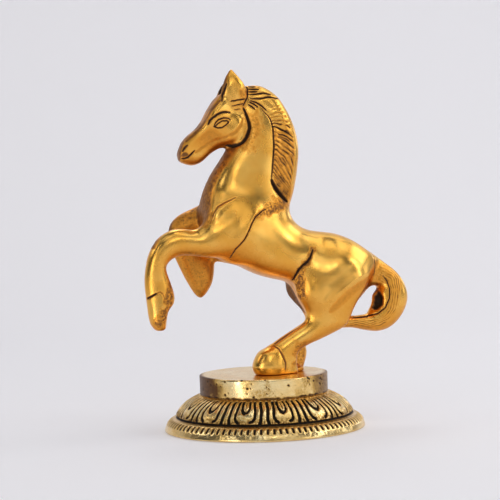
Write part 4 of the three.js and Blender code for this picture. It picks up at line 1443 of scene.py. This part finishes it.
def hardboard():
    paint = Paint("hardboard")
    fibre = paint.noise(0.0008, 6.0, 0.75)
    flecks = paint.noise(0.004, 3.0)
    tone = paint.sum("MULTIPLY", paint.span(fibre, 0.3, 0.7), paint.span(flecks, 0.3, 0.7, 0.6, 1))
    paint.put(paint.shader.inputs["Base Color"],
              paint.mix(tone, (0.10, 0.055, 0.028, 1), (0.24, 0.14, 0.075, 1)))
    paint.put(paint.shader.inputs["Roughness"], 0.8)
    paint.put(paint.shader.inputs["Normal"], paint.bump(fibre, 0.0001))
    return paint.material


finishes = {"base_board": hardboard()}
for name in ("hoof_screw_left", "hoof_screw_right", "washer_left", "washer_right"):
    finishes[name] = finishes.get("washer_left") or steel()
for name, finish in finishes.items():
    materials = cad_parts[name].data.materials
    materials.clear()
    materials.append(finish)

# Stage


def stage_material(name, colour, glow):
    """A pale matt surface that looks paler to the eye, and in metal, than the light makes it."""
    paint = Paint(name)
    drift = paint.noise(0.4, 2.0)
    deep = tuple(0.985 * c for c in colour[:3]) + (1,)
    paint.put(paint.shader.inputs["Base Color"], paint.mix(drift, deep, colour))
    paint.put(paint.shader.inputs["Roughness"], 0.9)
    rays = paint.node("ShaderNodeLightPath").outputs
    seen = paint.sum("MAXIMUM", rays["Is Camera Ray"], rays["Is Glossy Ray"])
    seen = paint.sum("MAXIMUM", seen, rays["Is Transmission Ray"])
    paint.put(paint.shader.inputs["Emission Color"], colour)
    paint.put(paint.shader.inputs["Emission Strength"], paint.sum("MULTIPLY", seen, glow))
    return paint.material


def make_stage():
    """A pale floor that turns up into a pale wall behind the statue."""
    bend, start, wide = 0.35, 0.75, 3.0
    path = [(-2.5, 0.0), (start - bend, 0.0)]
    for k in range(1, 13):
        angle = math.pi / 2 * k / 12
        path.append((start - bend + bend * math.sin(angle), bend - bend * math.cos(angle)))
    path.append((start, 2.2))
    points = [(x, y, z) for y, z in path for x in (-wide, wide)]
    faces = [[2 * k, 2 * k + 1, 2 * k + 3, 2 * k + 2] for k in range(len(path) - 1)]
    floor = mesh_object("pale_stage", points, [faces],
                        stage_material("pale stage", (0.78, 0.77, 0.80, 1), 0.25))
    world = bpy.context.scene.world or bpy.data.worlds.new("world")
    bpy.context.scene.world = world
    world.use_nodes = True
    background = world.node_tree.nodes["Background"]
    background.inputs["Color"].default_value = (0.62, 0.62, 0.66, 1)
    background.inputs["Strength"].default_value = 0.12


def lamp(name, place, size, power, aim=(0, 0, 0.07)):
    data = bpy.data.lights.new(name, "AREA")
    data.shape = "RECTANGLE"
    data.size, data.size_y = size
    data.energy = power
    thing = bpy.data.objects.new(name, data)
    thing.location = place
    way = Vector(aim) - Vector(place)
    thing.rotation_euler = way.to_track_quat("-Z", "Y").to_euler()
    bpy.context.scene.collection.objects.link(thing)


# Soft boxes round the statue: the turn from the front to the right, the rise, and the power
SOFT_BOXES = [
    (180, 55, 1.62),
    (-50, 5, 1.17),
    (92, 35, 1.22),
    (-100, 32, 0.90),
    (85, 60, 0.72),
    (66, 32, 0.70),
    (90, 10, 0.60),
    (-12, 32, 0.47),
    (14, 32, 0.49),
    (120, 35, 0.32),
    (45, 58, 0.45),
    (130, 58, 0.45),
    (42, 8, 0.59),
    (-28, 8, 0.27),
    (-80, 58, 0.30),
    (18, 8, 0.32),
    (-6, 8, 0.12),
    (-35, 56, 0.47),
    (5, 56, 0.27),
    (66, 8, 0.14),
    (19, 80, 0.72),
]
SMALL_BOXES = [
    (-2, 22, 0.34),
    (57, 18, 0.30),
    (59, 30, 0.38),
    (-55, 27, 0.26),
    (124, 11, 0.25),
]


def soft_box(turn, rise, power, side):
    away = 1.1
    turn, rise = math.radians(turn), math.radians(rise)
    place = (away * math.sin(turn) * math.cos(rise), -away * math.cos(turn) * math.cos(rise),
             0.07 + away * math.sin(rise))
    lamp("soft box", place, (side, side), power)


make_stage()
for turn, rise, power in SOFT_BOXES:
    soft_box(turn, rise, power, 0.40)
for turn, rise, power in SMALL_BOXES:
    soft_box(turn, rise, power, 0.18)
lamp("left card", (-0.17, -0.14, 0.003), (0.09, 0.09), 0.165, (-0.17, -0.14, 1.0))

bpy.context.scene.view_settings.view_transform = "Standard"
